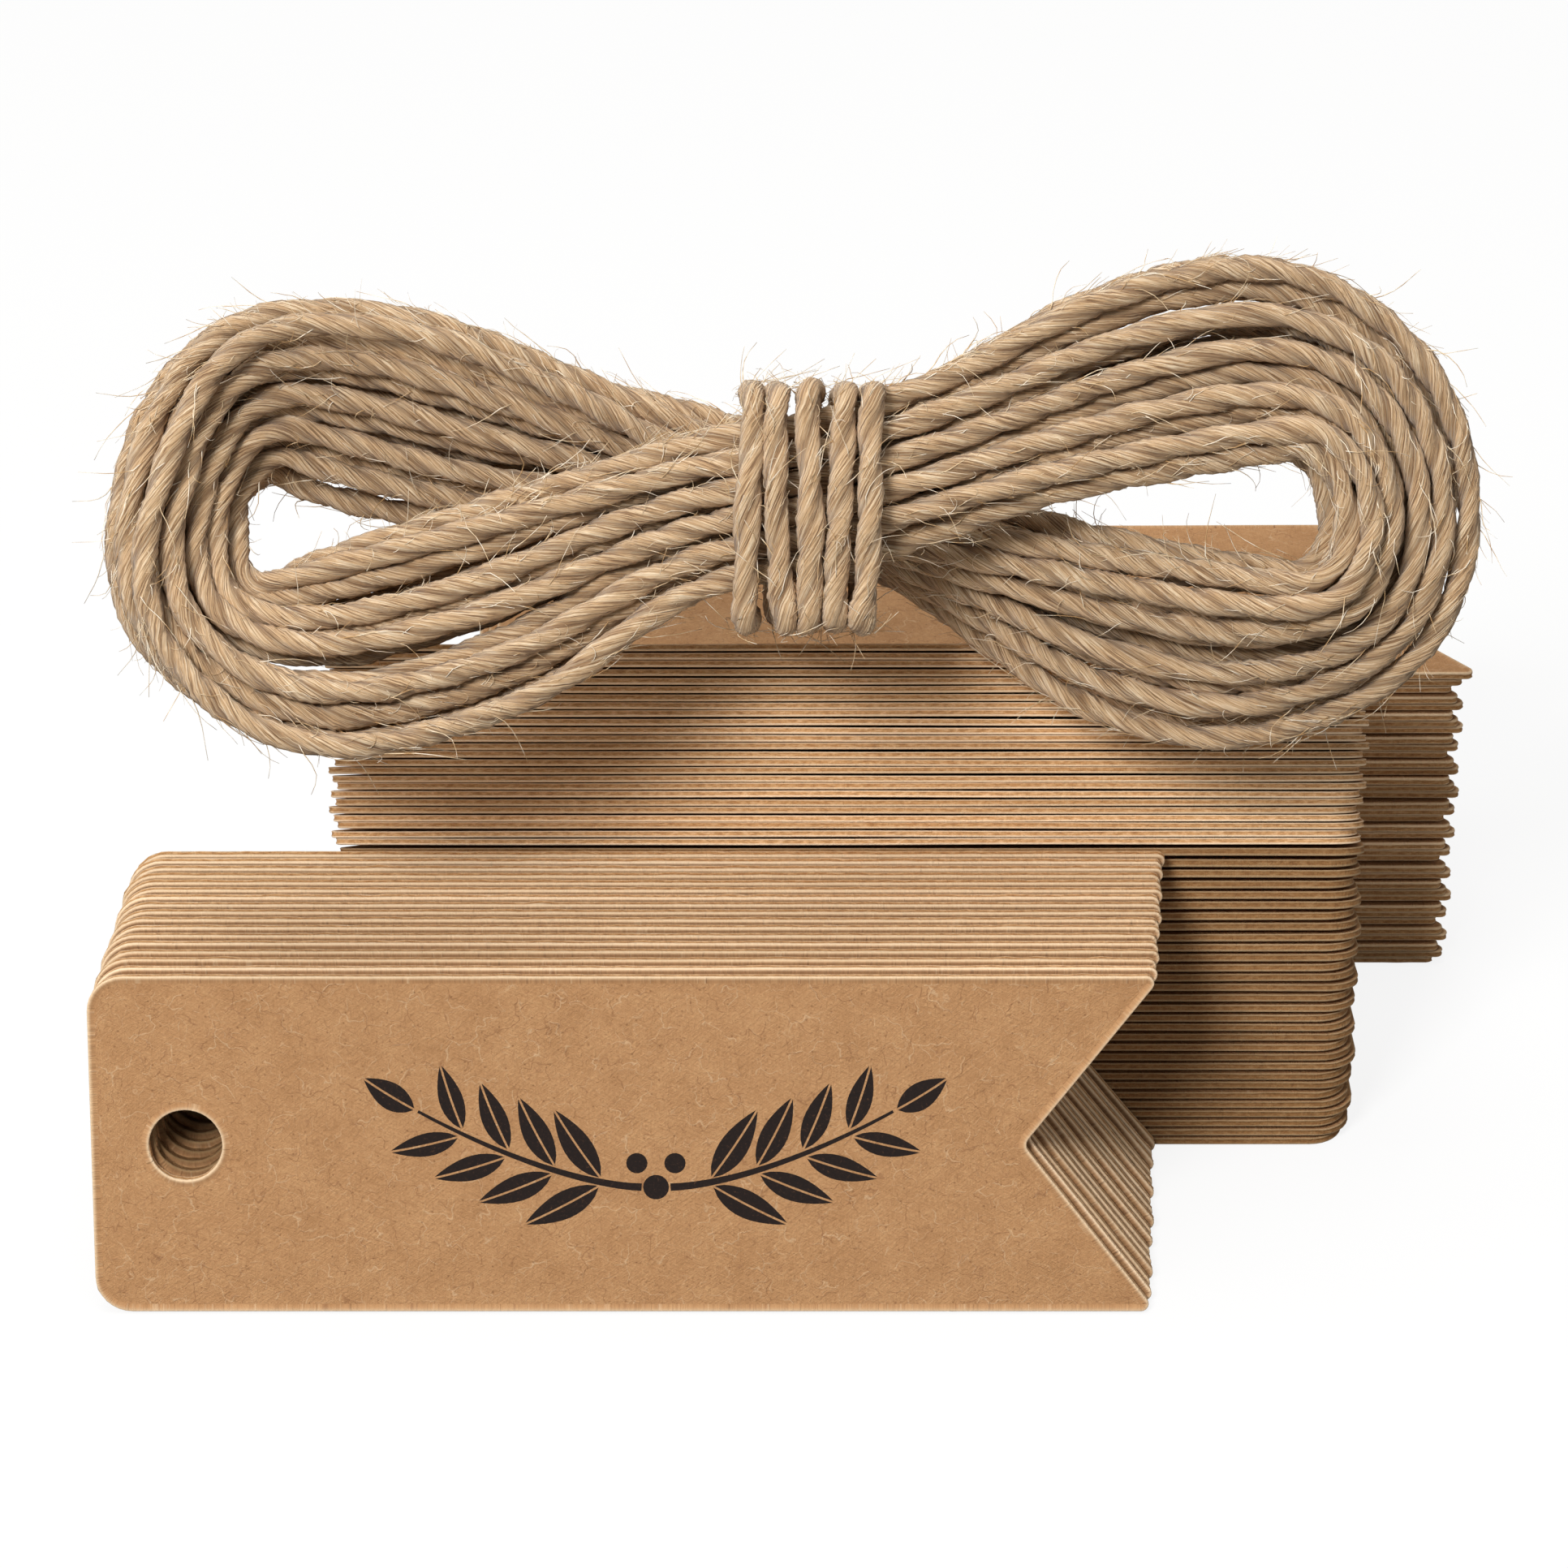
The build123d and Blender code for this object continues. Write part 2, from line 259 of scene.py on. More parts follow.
# The printed spray, in millimetres: a rising stem to each side of the middle, with pairs of leaves that get
# smaller, one leaf at its end, and berries in the middle
ornament_middle = (37.0, 11.2)
ink_film = 0.006
ink_root = 0.02
stem_start = 0.95
stem_reach = 14.6
stem_low = 2.6
stem_rise = 5.2
stem_rise_power = 1.6
stem_steps = 24
stem_half_width = 0.26
stem_taper = 0.16
first_leaf_step = 4
steps_between_leaves = 5
leaf_length = 5.4
leaf_length_less = 0.32
leaf_width = 1.75
leaf_width_less = 0.1
leaf_stalk = 0.5
leaf_forward_share = 0.78
leaf_sideways_share = 0.72
leaf_vein = 0.07
leaf_steps = 10
leaf_base_power = 0.85
leaf_round_power = 0.9
leaf_curl_share = 0.06
end_leaf_stalk = 0.3
end_leaf_length = 3.8
end_leaf_width = 1.7
berries = [
    ((0, -2.6), 0.85),
    ((-1.25, -0.95), 0.7),
    ((1.25, -0.95), 0.7),
]
berry_corners = 18

# Table, room and lamps, in metres and watts: the table lies just under the pack, and most of what the camera
# sees of it is its own white
table_half_size = 1.5
table_drop = 0.00003
table_white_share = 0.86
room_strength = 0.3
lamp_aim = (0, -0.01, 0.03)
softboxes = [
    ("front_softbox", (-0.22, -0.46, 0.47), 0.18, 3.6),
    ("top_softbox", (-0.03, 0.02, 0.62), 0.4, 1.9),
]

# Seeds of what is drawn at random; a card's seed is its node's name
hank_wander_seed = 827
tie_seed = 5
hank_twine_seed = 11
hank_fibre_seed = 21
tie_twine_seed = 31
tie_fibre_seed = 41
fibre_shape_seed = 60


def linear(colour):
    """Linear colour of an sRGB hex value."""
    values = []
    for start in (1, 3, 5):
        share = int(colour[start : start + 2], 16) / 255
        values.append(share / 12.92 if share <= 0.04045 else ((share + 0.055) / 1.055) ** 2.4)
    return (*values, 1.0)


def add(tree, kind, inputs=None, stops=None, **settings):
    """Adds a node with its settings, sets or links its inputs, and sets a ramp's stops."""
    node = tree.nodes.new(kind)
    for name, value in settings.items():
        setattr(node, name, value)
    for socket, value in (inputs or {}).items():
        if isinstance(value, bpy.types.NodeSocket):
            tree.links.new(value, node.inputs[socket])
        else:
            node.inputs[socket].default_value = value
    for index, (place, colour) in enumerate(stops or []):
        elements = node.color_ramp.elements
        element = elements[index] if index < 2 else elements.new(place)
        element.position = place
        element.color = linear(colour)
    return node


def new_material(name):
    """An empty node material and its tree."""
    material = bpy.data.materials.new(name)
    material.use_nodes = True
    material.node_tree.nodes.clear()
    return material, material.node_tree


def kraft_card():
    """Uncoated kraft card of unbleached pulp: matt, mottled, with short pale and dark fibres and a few
    specks. Its die-cut edges are browner, streaked along the plies, with a pale torn lip at each face."""
    material, tree = new_material("uncoated_kraft_card")
    card = add(tree, "ShaderNodeUVMap", uv_map="card").outputs["UV"]
    cut = add(tree, "ShaderNodeAttribute", attribute_name="cut").outputs["Fac"]
    tone = add(tree, "ShaderNodeAttribute", attribute_name="tone").outputs["Fac"]
    shade = add(tree, "ShaderNodeAttribute", attribute_name="shade").outputs["Fac"]
    # Its map is in millimetres: mottling of the pulp, about 3 mm across, then grain of about 0.4 mm and finer
    mottle = add(
        tree,
        "ShaderNodeTexNoise",
        {"Vector": card, "Scale": 0.33, "Detail": 3.0, "Roughness": 0.6},
        noise_dimensions="2D",
    ).outputs["Fac"]
    grain = add(
        tree,
        "ShaderNodeTexNoise",
        {"Vector": card, "Scale": 2.6, "Detail": 5.0, "Roughness": 0.7, "Distortion": 1.6},
        noise_dimensions="2D",
    ).outputs["Fac"]
    blend = add(tree, "ShaderNodeMath", {0: mottle, 1: 0.4}, operation="MULTIPLY").outputs[0]
    blend = add(tree, "ShaderNodeMath", {0: grain, 1: 0.6, 2: blend}, operation="MULTIPLY_ADD").outputs[0]
    # Felt of the paper machine: fine streaks of about 0.15 by 0.8 mm that cross each other
    felt = None
    for angle in (0.45, -0.7, 1.5):
        turned = add(
            tree,
            "ShaderNodeVectorRotate",
            {"Vector": card, "Angle": angle},
            rotation_type="Z_AXIS",
        ).outputs["Vector"]
        stretched = add(
            tree,
            "ShaderNodeVectorMath",
            {0: turned, 1: (1.2, 6.5, 1.0)},
            operation="MULTIPLY",
        ).outputs["Vector"]
        layer = add(
            tree,
            "ShaderNodeTexNoise",
            {"Vector": stretched, "Scale": 1.0, "Detail": 2.0, "Roughness": 0.6, "Distortion": 0.5},
            noise_dimensions="2D",
        ).outputs["Fac"]
        if felt is None:
            felt = layer
        else:
            felt = add(tree, "ShaderNodeMath", {0: felt, 1: layer}, operation="ADD").outputs[0]
    blend = add(tree, "ShaderNodeMath", {0: felt, 1: 0.22, 2: blend}, operation="MULTIPLY_ADD").outputs[0]
    blend = add(tree, "ShaderNodeMath", {0: blend, 1: 0.33}, operation="SUBTRACT").outputs[0]
    pulp = add(
        tree,
        "ShaderNodeValToRGB",
        {"Fac": blend},
        stops=[(0.3, "#ab7e54"), (0.7, "#c4976a"), (0.5, "#b88a5f")],
    ).outputs["Color"]
    # Fibres: edges of warped cells, 1 to 2 mm long, broken up by a mask; drawn 0.06 mm wide so that they show
    warp = add(
        tree,
        "ShaderNodeTexNoise",
        {"Vector": card, "Scale": 0.9, "Detail": 1.0},
        noise_dimensions="2D",
    ).outputs["Color"]
    bent = add(
        tree,
        "ShaderNodeVectorMath",
        {0: warp, 1: (1.3, 1.3, 0.0), 2: card},
        operation="MULTIPLY_ADD",
    ).outputs["Vector"]
    colour = pulp
    relief = add(tree, "ShaderNodeMath", {0: felt, 1: grain}, operation="ADD").outputs[0]
    for scale, shift, width, mask_scale, hue, share in (
        (0.5, 11.0, 0.03, 0.6, "#e6c8a2", 0.38),
        (0.42, 47.0, 0.03, 0.7, "#85593a", 0.5),
        (0.9, 83.0, 0.045, 0.9, "#d8b48d", 0.36),
        (1.1, 131.0, 0.045, 1.1, "#94694a", 0.45),
    ):
        moved = add(
            tree,
            "ShaderNodeVectorMath",
            {0: bent, 1: (shift, shift, 0.0)},
            operation="ADD",
        ).outputs["Vector"]
        edge = add(
            tree,
            "ShaderNodeTexVoronoi",
            {"Vector": moved, "Scale": scale},
            voronoi_dimensions="2D",
            feature="DISTANCE_TO_EDGE",
        ).outputs["Distance"]
        line = add(
            tree,
            "ShaderNodeMapRange",
            {"Value": edge, "From Min": 0.0, "From Max": width, "To Min": 1.0, "To Max": 0.0},
        ).outputs["Result"]
        patch = add(
            tree,
            "ShaderNodeTexNoise",
            {"Vector": moved, "Scale": mask_scale, "Detail": 1.0},
            noise_dimensions="2D",
        ).outputs["Fac"]
        patch = add(
            tree,
            "ShaderNodeMapRange",
            {"Value": patch, "From Min": 0.52, "From Max": 0.6, "To Min": 0.0, "To Max": share},
        ).outputs["Result"]
        fibre = add(tree, "ShaderNodeMath", {0: line, 1: patch}, operation="MULTIPLY").outputs[0]
        colour = add(
            tree,
            "ShaderNodeMix",
            {0: fibre, 6: colour, 7: linear(hue)},
            data_type="RGBA",
        ).outputs[2]
        relief = add(
            tree,
            "ShaderNodeMath",
            {0: fibre, 1: 0.5, 2: relief},
            operation="MULTIPLY_ADD",
        ).outputs[0]
    # Bark specks, up to 0.2 mm
    speck = add(
        tree,
        "ShaderNodeTexVoronoi",
        {"Vector": card, "Scale": 0.55, "Randomness": 1.0},
        voronoi_dimensions="2D",
        feature="F1",
    ).outputs["Distance"]
    speck = add(
        tree,
        "ShaderNodeMapRange",
        {"Value": speck, "From Min": 0.02, "From Max": 0.055, "To Min": 0.55, "To Max": 0.0},
    ).outputs["Result"]
    colour = add(
        tree,
        "ShaderNodeMix",
        {0: speck, 6: colour, 7: linear("#7a5233")},
        data_type="RGBA",
    ).outputs[2]
    # The cut: streaks along the plies of the board, about 0.6 mm along the edge and 0.15 mm across it
    along = add(
        tree,
        "ShaderNodeVectorMath",
        {0: card, 1: (1.6, 7.0, 1.0)},
        operation="MULTIPLY",
    ).outputs["Vector"]
    streak = add(
        tree,
        "ShaderNodeTexNoise",
        {"Vector": along, "Scale": 1.0, "Detail": 4.0, "Roughness": 0.7},
        noise_dimensions="2D",
    ).outputs["Fac"]
    core = add(
        tree,
        "ShaderNodeValToRGB",
        {"Fac": streak},
        stops=[(0.32, "#a57548"), (0.68, "#dcb182"), (0.5, "#c4935f")],
    ).outputs["Color"]
    lip = add(
        tree,
        "ShaderNodeMapRange",
        {"Value": cut, "From Min": 0.0, "From Max": 0.5, "To Min": 0.0, "To Max": 0.85},
    ).outputs["Result"]
    face = colour
    colour = add(
        tree,
        "ShaderNodeMix",
        {0: lip, 6: colour, 7: linear("#fbe0ba")},
        data_type="RGBA",
    ).outputs[2]
    inner = add(
        tree,
        "ShaderNodeMapRange",
        {"Value": cut, "From Min": 0.55, "From Max": 0.9, "To Min": 0.0, "To Max": 1.0},
    ).outputs["Result"]
    colour = add(tree, "ShaderNodeMix", {0: inner, 6: colour, 7: core}, data_type="RGBA").outputs[2]
    # The cut's painted light and shade, by stack, front edge and hole, times each card's random tone;
    # brown deepens as it darkens: red falls off less than blue
    red = add(tree, "ShaderNodeMath", {0: shade, 1: 0.88}, operation="POWER").outputs[0]
    blue = add(tree, "ShaderNodeMath", {0: shade, 1: 1.22}, operation="POWER").outputs[0]
    tint = add(tree, "ShaderNodeCombineColor", {"Red": red, "Green": shade, "Blue": blue}).outputs["Color"]
    darker = add(
        tree,
        "ShaderNodeMix",
        {0: 1.0, 6: colour, 7: tint},
        data_type="RGBA",
        blend_type="MULTIPLY",
    ).outputs[2]
    colour = add(tree, "ShaderNodeMix", {0: lip, 6: face, 7: darker}, data_type="RGBA").outputs[2]
    colour = add(
        tree,
        "ShaderNodeHueSaturation",
        {"Color": colour, "Value": tone},
    ).outputs["Color"]
    rough = add(
        tree,
        "ShaderNodeMapRange",
        {"Value": grain, "To Min": 0.78, "To Max": 0.95},
    ).outputs["Result"]
    bump = add(
        tree,
        "ShaderNodeBump",
        {"Height": relief, "Strength": 0.7, "Distance": 0.00007},
    ).outputs["Normal"]
    shader = add(
        tree,
        "ShaderNodeBsdfPrincipled",
        {"Base Color": colour, "Roughness": rough, "Normal": bump, "IOR": 1.45, "Specular IOR Level": 0.25},
    )
    add(tree, "ShaderNodeOutputMaterial", {"Surface": shader.outputs["BSDF"]})
    return material


def jute_twine():
    """Natural jute, spun and twisted in two plies: matt, dry, golden grey-brown fibres that catch light along
    their length. The fibres are drawn about 0.11 mm wide, twice the real ones, so that they show."""
    material, tree = new_material("natural_jute_twine")
    fibre = add(tree, "ShaderNodeUVMap", uv_map="fibre").outputs["UV"]
    # Its map goes once round the twine and along it in millimetres: 44 fibres round, each about 3 mm long
    around = add(
        tree,
        "ShaderNodeVectorMath",
        {0: fibre, 1: (44.0, 0.34, 1.0)},
        operation="MULTIPLY",
    ).outputs["Vector"]
    fine = add(
        tree,
        "ShaderNodeTexNoise",
        {"Vector": around, "Scale": 1.0, "Detail": 4.0, "Roughness": 0.65, "Distortion": 0.3},
        noise_dimensions="2D",
    ).outputs["Fac"]
    tuft = add(
        tree,
        "ShaderNodeTexNoise",
        {"Vector": fibre, "Scale": 0.3, "Detail": 2.0},
        noise_dimensions="2D",
    ).outputs["Fac"]
    tuft = add(tree, "ShaderNodeMapRange", {"Value": tuft, "To Min": -0.2, "To Max": 0.5}).outputs["Result"]
    groove = add(tree, "ShaderNodeAttribute", attribute_name="groove").outputs["Fac"]
    colour = add(
        tree,
        "ShaderNodeValToRGB",
        {"Fac": fine},
        stops=[(0.35, "#6f4e30"), (0.65, "#f3dcba"), (0.45, "#ba946a"), (0.55, "#dcbb92")],
    ).outputs["Color"]
    colour = add(
        tree,
        "ShaderNodeMix",
        {0: tuft, 6: colour, 7: linear("#d0aa80")},
        data_type="RGBA",
    ).outputs[2]
    # Painted shade in the grooves between the plies, up to a share of 0.6
    depth = add(
        tree,
        "ShaderNodeMapRange",
        {"Value": groove, "From Min": 0.4, "From Max": 1.0, "To Min": 0.0, "To Max": 0.6},
    ).outputs["Result"]
    colour = add(
        tree,
        "ShaderNodeMix",
        {0: depth, 6: colour, 7: linear("#6e4e31")},
        data_type="RGBA",
    ).outputs[2]
    bump = add(
        tree,
        "ShaderNodeBump",
        {"Height": fine, "Strength": 0.8, "Distance": 0.00022},
    ).outputs["Normal"]
    shader = add(
        tree,
        "ShaderNodeBsdfPrincipled",
        {
            "Base Color": colour,
            "Roughness": 0.82,
            "Normal": bump,
            "IOR": 1.5,
            "Specular IOR Level": 0.3,
            "Sheen Weight": 0.25,
            "Sheen Roughness": 0.5,
        },
    )
    add(tree, "ShaderNodeOutputMaterial", {"Surface": shader.outputs["BSDF"]})
    return material


def stray_jute():
    """Single jute fibres that have come out of the twine: pale, dry and slightly shiny."""
    material, tree = new_material("stray_jute_fibre")
    place = add(tree, "ShaderNodeTexCoord").outputs["Object"]
    # Patches of colour of about 1 mm
    patch = add(
        tree,
        "ShaderNodeTexNoise",
        {"Vector": place, "Scale": 900.0, "Detail": 1.0},
    ).outputs["Fac"]
    colour = add(
        tree,
        "ShaderNodeValToRGB",
        {"Fac": patch},
        stops=[(0.35, "#c29a68"), (0.6, "#fbeed8"), (0.48, "#e6cda6")],
    ).outputs["Color"]
    rough = add(
        tree,
        "ShaderNodeMapRange",
        {"Value": patch, "To Min": 0.5, "To Max": 0.7},
    ).outputs["Result"]
    shader = add(tree, "ShaderNodeBsdfPrincipled", {"Base Color": colour, "Roughness": rough})
    add(tree, "ShaderNodeOutputMaterial", {"Surface": shader.outputs["BSDF"]})
    return material


def printing_ink():
    """Warm black offset ink on uncoated card: matt, with the card's fibres just showing through."""
    material, tree = new_material("black_printing_ink")
    place = add(tree, "ShaderNodeTexCoord").outputs["Object"]
    # Fibres of about 0.2 mm
    patch = add(
        tree,
        "ShaderNodeTexNoise",
        {"Vector": place, "Scale": 5000.0, "Detail": 3.0, "Roughness": 0.7},
    ).outputs["Fac"]
    colour = add(
        tree,
        "ShaderNodeValToRGB",
        {"Fac": patch},
        stops=[(0.4, "#1b120f"), (0.74, "#4a3426"), (0.6, "#231814")],
    ).outputs["Color"]
    rough = add(
        tree,
        "ShaderNodeMapRange",
        {"Value": patch, "To Min": 0.6, "To Max": 0.85},
    ).outputs["Result"]
    bump = add(
        tree,
        "ShaderNodeBump",
        {"Height": patch, "Strength": 0.2, "Distance": 0.00003},
    ).outputs["Normal"]
    shader = add(
        tree,
        "ShaderNodeBsdfPrincipled",
        {"Base Color": colour, "Roughness": rough, "Normal": bump, "Specular IOR Level": 0.2},
    )
    add(tree, "ShaderNodeOutputMaterial", {"Surface": shader.outputs["BSDF"]})
    return material


def add_camera():
    """The photograph's own view, aimed from the foot of the front tag."""
    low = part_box("front_tag_01")[0]
    aim = Vector((low.x, low.y, 0)) + Vector(aim_from_front_foot) * MM
    elevation = math.radians(camera_elevation_degrees)
    back = Vector((0, -math.cos(elevation), math.sin(elevation)))
    data = bpy.data.cameras.new("photograph_camera")
    data.lens = camera_lens
    data.sensor_width = camera_sensor_width
    data.clip_start = camera_clip_start
    camera = bpy.data.objects.new("photograph_camera", data)
    camera.location = aim + back * camera_distance * MM
    camera.rotation_euler = (math.pi / 2 - elevation, 0, 0)
    bpy.context.collection.objects.link(camera)
    bpy.context.scene.camera = camera


def eased(share):
    """A smooth step from 0 to 1."""
    share = min(max(share, 0), 1)
    return share * share * (3 - 2 * share)


def hank_station(turn):
    """Middle of the bundle, its turn and its fan at a share of one loop, on a smooth curve through the
    stations (a Catmull-Rom spline)."""
    count = len(hank_station_shares)
    place = (turn % 1) * count
    index = int(place)
    t = place - index
    near = [hank_station_shares[(index + step) % count] for step in (-1, 0, 1, 2)]
    values = []
    for p, q, r, s in zip(*near):
        bend = (2 * p - 5 * q + 4 * r - s) * t**2
        twist = (3 * q - p - 3 * r + s) * t**3
        values.append((2 * q + (r - p) * t + bend + twist) / 2)
    across, up, forward, degrees, fan = values
    half = hank_half_size
    return Vector((across * half.x, up * half.y, forward * half.z)), math.radians(degrees), fan


def hank_row_and_layer(turns):
    """Where the strand lies in its bundle: rows fill out and in again, and layers climb at the waist."""
    layer = min(int(turns / hank_rows), hank_layers - 1)
    along = turns - layer * hank_rows
    row = along if layer % 2 == 0 else hank_rows - along
    nearest = round(turns / hank_rows)
    past = turns - nearest * hank_rows
    height = float(layer)
    if 0 < nearest < hank_layers and abs(past) < climb_share / 2:
        height = nearest - 1 + eased(past / climb_share + 1 / 2)
    return row - hank_rows / 2, height - (hank_layers - 1) / 2


def hank_point(turns):
    """A point of the strand after that many turns of the figure of eight, loose off the waist."""
    middle, roll, fan = hank_station(turns)
    ahead = hank_station(turns + heading_share)[0] - hank_station(turns - heading_share)[0]
    side = Vector((-ahead.y, ahead.x, 0)).normalized()
    depth = side.cross(ahead.normalized())
    if depth.z > 0:
        depth = -depth
    reach = abs(middle.x) / hank_half_size.x
    free = eased((reach - free_from_share) / free_over_share)
    nested = eased((reach - nest_from_share) / nest_over_share)
    wander = noise.noise_vector(Vector((turns * wander_rate, *wander_place))) * free
    row, layer = hank_row_and_layer(turns)
    if int(turns / hank_rows) % 2:
        row -= stagger_share * math.sin(4 * math.pi * turns) * nested
    row += row_wander_share * wander.x
    layer += layer_wander_share * wander.y
    along_row = depth * math.cos(roll) + side * math.sin(roll)
    along_layer = side * math.cos(roll) - depth * math.sin(roll)
    pitch = strand_pitch * (waist_share + (loop_share - waist_share) * free)
    row_place = row * pitch * fan
    layer_place = layer * pitch * (1 - nest_share * nested)
    point = middle + along_row * row_place + along_layer * layer_place
    loop_middle = math.copysign(loop_middle_share * hank_half_size.x, middle.x)
    outward = Vector((point.x - loop_middle, point.y, 0)).normalized()
    slack = 0
    for number, place, span, stand_out in slack_turns:
        slack += stand_out * eased(1 - abs(turns - number - place) / span)
    return point + outward * (slack * free)


def tie_size(points):
    """Half height, front and back of the tie, one strand outside the hank's waist."""
    reach = tie_pitch * tie_turns / 2
    waist = [point for point in points if abs(point.x) < reach]
    half_height = max(abs(point.y) for point in waist) + tie_height_reach
    front = max(point.z for point in waist) + tie_reach
    back = min(point.z for point in waist) - tie_reach
    return half_height, front, back


def tie_points(top, front, back):
    """Oblong turns side by side round the waist: two points and the corner at each bend, and one halfway
    along a side."""
    draw = random.Random(tie_seed)
    bend = tie_bend
    points = []
    for turn in range(tie_turns):
        across = tie_pitch * (turn - (tie_turns - 1) / 2)
        after = across + tie_pitch
        ring = [
            (across, -top, back + bend),
            (across, -top, (front + back) / 2),
            (across, -top, front - bend),
            (across, -top, front),
            (across, bend - top, front),
            (across, 0, front + tie_bulge),
            (across, top - bend, front),
            (across, top, front),
            (across, top, front - bend),
            (across, top, (front + back) / 2),
            (across, top, back + bend - tie_slack_behind),
        ]
        if turn < tie_turns - 1:
            ring += [
                (across, top, back - tie_slack_behind),
                (across, top - bend, back - tie_slack_behind),
                (across + tie_pitch / 2, 0, back - tie_slack_behind / 2),
                (after, bend - top, back),
                (after, -top, back),
            ]
        lift = draw.uniform(*tie_lift_spread)
        lean = draw.uniform(-tie_lean, tie_lean)
        for point in ring:
            aside = draw.uniform(-tie_uneven[0], tie_uneven[0])
            above = draw.uniform(-tie_uneven[1], tie_uneven[1])
            before = draw.uniform(0, tie_uneven[2])
            uneven = Vector((aside, above, before))
            uneven.x += lean * point[1]
            uneven.y += math.copysign(lift, point[1])
            uneven.y -= tie_sag * (point[1] < 0)
            uneven.z += math.copysign(lift, point[2])
            points.append(Vector(point) + uneven)
    return points


def smooth_route(name, points):
    """Points along the NURBS curve of a route, in metres in the frame."""
    curve = bpy.data.curves.new(name, "CURVE")
    curve.dimensions = "3D"
    curve.resolution_u = route_resolution
    spline = curve.splines.new("NURBS")
    spline.points.add(len(points) - 1)
    for control, point in zip(spline.points, points):
        control.co = (*point, 1)
    spline.order_u = 3
    spline.use_endpoint_u = True
    route = bpy.data.objects.new(name, curve)
    bpy.context.collection.objects.link(route)
    bpy.context.view_layer.update()
    mesh = bpy.data.meshes.new_from_object(route)
    path = np.array([vertex.co for vertex in mesh.vertices])
    bpy.data.objects.remove(route)
    bpy.data.curves.remove(curve)
    bpy.data.meshes.remove(mesh)
    return path


def headings_and_sides(path):
    """Unit headings along a path and a side direction that turns with it without twisting."""
    heading = np.gradient(path, axis=0)
    heading /= np.linalg.norm(heading, axis=1)[:, None]
    side = np.empty_like(path)
    current = np.cross(heading[0], first_ring_direction)
    for index, ahead in enumerate(heading):
        current = current - ahead * current.dot(ahead)
        current /= np.linalg.norm(current)
        side[index] = current
    return heading, side


def run_along(path):
    """Distance from the start at each point of a path, in millimetres."""
    steps = np.linalg.norm(np.diff(path, axis=0), axis=1)
    return np.concatenate([[0], np.cumsum(steps)]) / MM


def waves(run, seed, length):
    """A smooth uneven value from about -1 to 1 along a run, changing over about that length."""
    draw = np.random.default_rng(seed)
    total = np.zeros_like(run)
    for step in range(wave_count):
        wave_length = length * draw.uniform(*wave_length_spread)
        total += np.sin(run * 2 * math.pi / wave_length + draw.uniform(0, 2 * math.pi))
    return total / (wave_count / 2)


def twine_piece(name, path, outward, material, seed):
    """Twine of two twisted plies along a path: a groove on each side, uneven thickness and a rough skin."""
    heading, side = headings_and_sides(path)
    other = np.cross(heading, side)
    run = run_along(path)
    twist = run * 2 * math.pi / twist_length + twist_wander * waves(run, seed, twist_wander_length)
    swell = 1 + swell_share * waves(run, seed + 1, swell_length)
    draw = np.random.default_rng(seed + 2)
    count = len(path)
    rows = []
    grooves = []
    outers = []
    for number in range(twine_sides):
        angle = 2 * math.pi * number / twine_sides
        lobe = abs(math.cos(angle)) ** ply_roundness
        radius = (ply_groove + (ply_crest - ply_groove) * lobe) * swell
        radius = radius + draw.normal(0, skin_roughness, count)
        turn = twist + angle
        out = side * np.cos(turn)[:, None] + other * np.sin(turn)[:, None]
        rows.append(path + out * radius[:, None] * MM)
        grooves.append(np.full(count, 1 - lobe))
        outers.append(np.maximum((out * outward).sum(axis=1), 0))
    vertices = np.stack(rows, axis=1).reshape(-1, 3)
    groove = np.stack(grooves, axis=1).reshape(-1)
    outer = np.stack(outers, axis=1).reshape(-1)
    headings = np.repeat(heading, twine_sides, axis=0)
    faces = []
    uvs = []
    for ring in range(count - 1):
        for number in range(twine_sides):
            after = (number + 1) % twine_sides
            here = ring * twine_sides
            there = here + twine_sides
            faces.append((here + number, here + after, there + after, there + number))
            low = number / twine_sides
            high = (number + 1) / twine_sides
            uvs += [(low, run[ring]), (high, run[ring]), (high, run[ring + 1]), (low, run[ring + 1])]
    for start in (0, (count - 1) * twine_sides):
        ends = [start + number for number in range(twine_sides)]
        faces.append(tuple(reversed(ends)) if start == 0 else tuple(ends))
        uvs += [(number / twine_sides, 0) for number in range(twine_sides)]
    mesh = bpy.data.meshes.new(name)
    mesh.from_pydata(vertices.tolist(), [], faces)
    mesh.uv_layers.new(name="fibre").data.foreach_set("uv", np.array(uvs, dtype=np.float32).ravel())
    mesh.attributes.new("groove", "FLOAT", "POINT").data.foreach_set("value", groove.astype(np.float32))
    mesh.attributes.new("outer", "FLOAT", "POINT").data.foreach_set("value", outer.astype(np.float32))
    turned = mesh.attributes.new("heading", "FLOAT_VECTOR", "POINT")
    turned.data.foreach_set("vector", headings.astype(np.float32).ravel())
    mesh.polygons.foreach_set("use_smooth", [True] * len(mesh.polygons))
    mesh.materials.append(material)
    piece = bpy.data.objects.new(name, mesh)
    bpy.context.collection.objects.link(piece)
    return piece


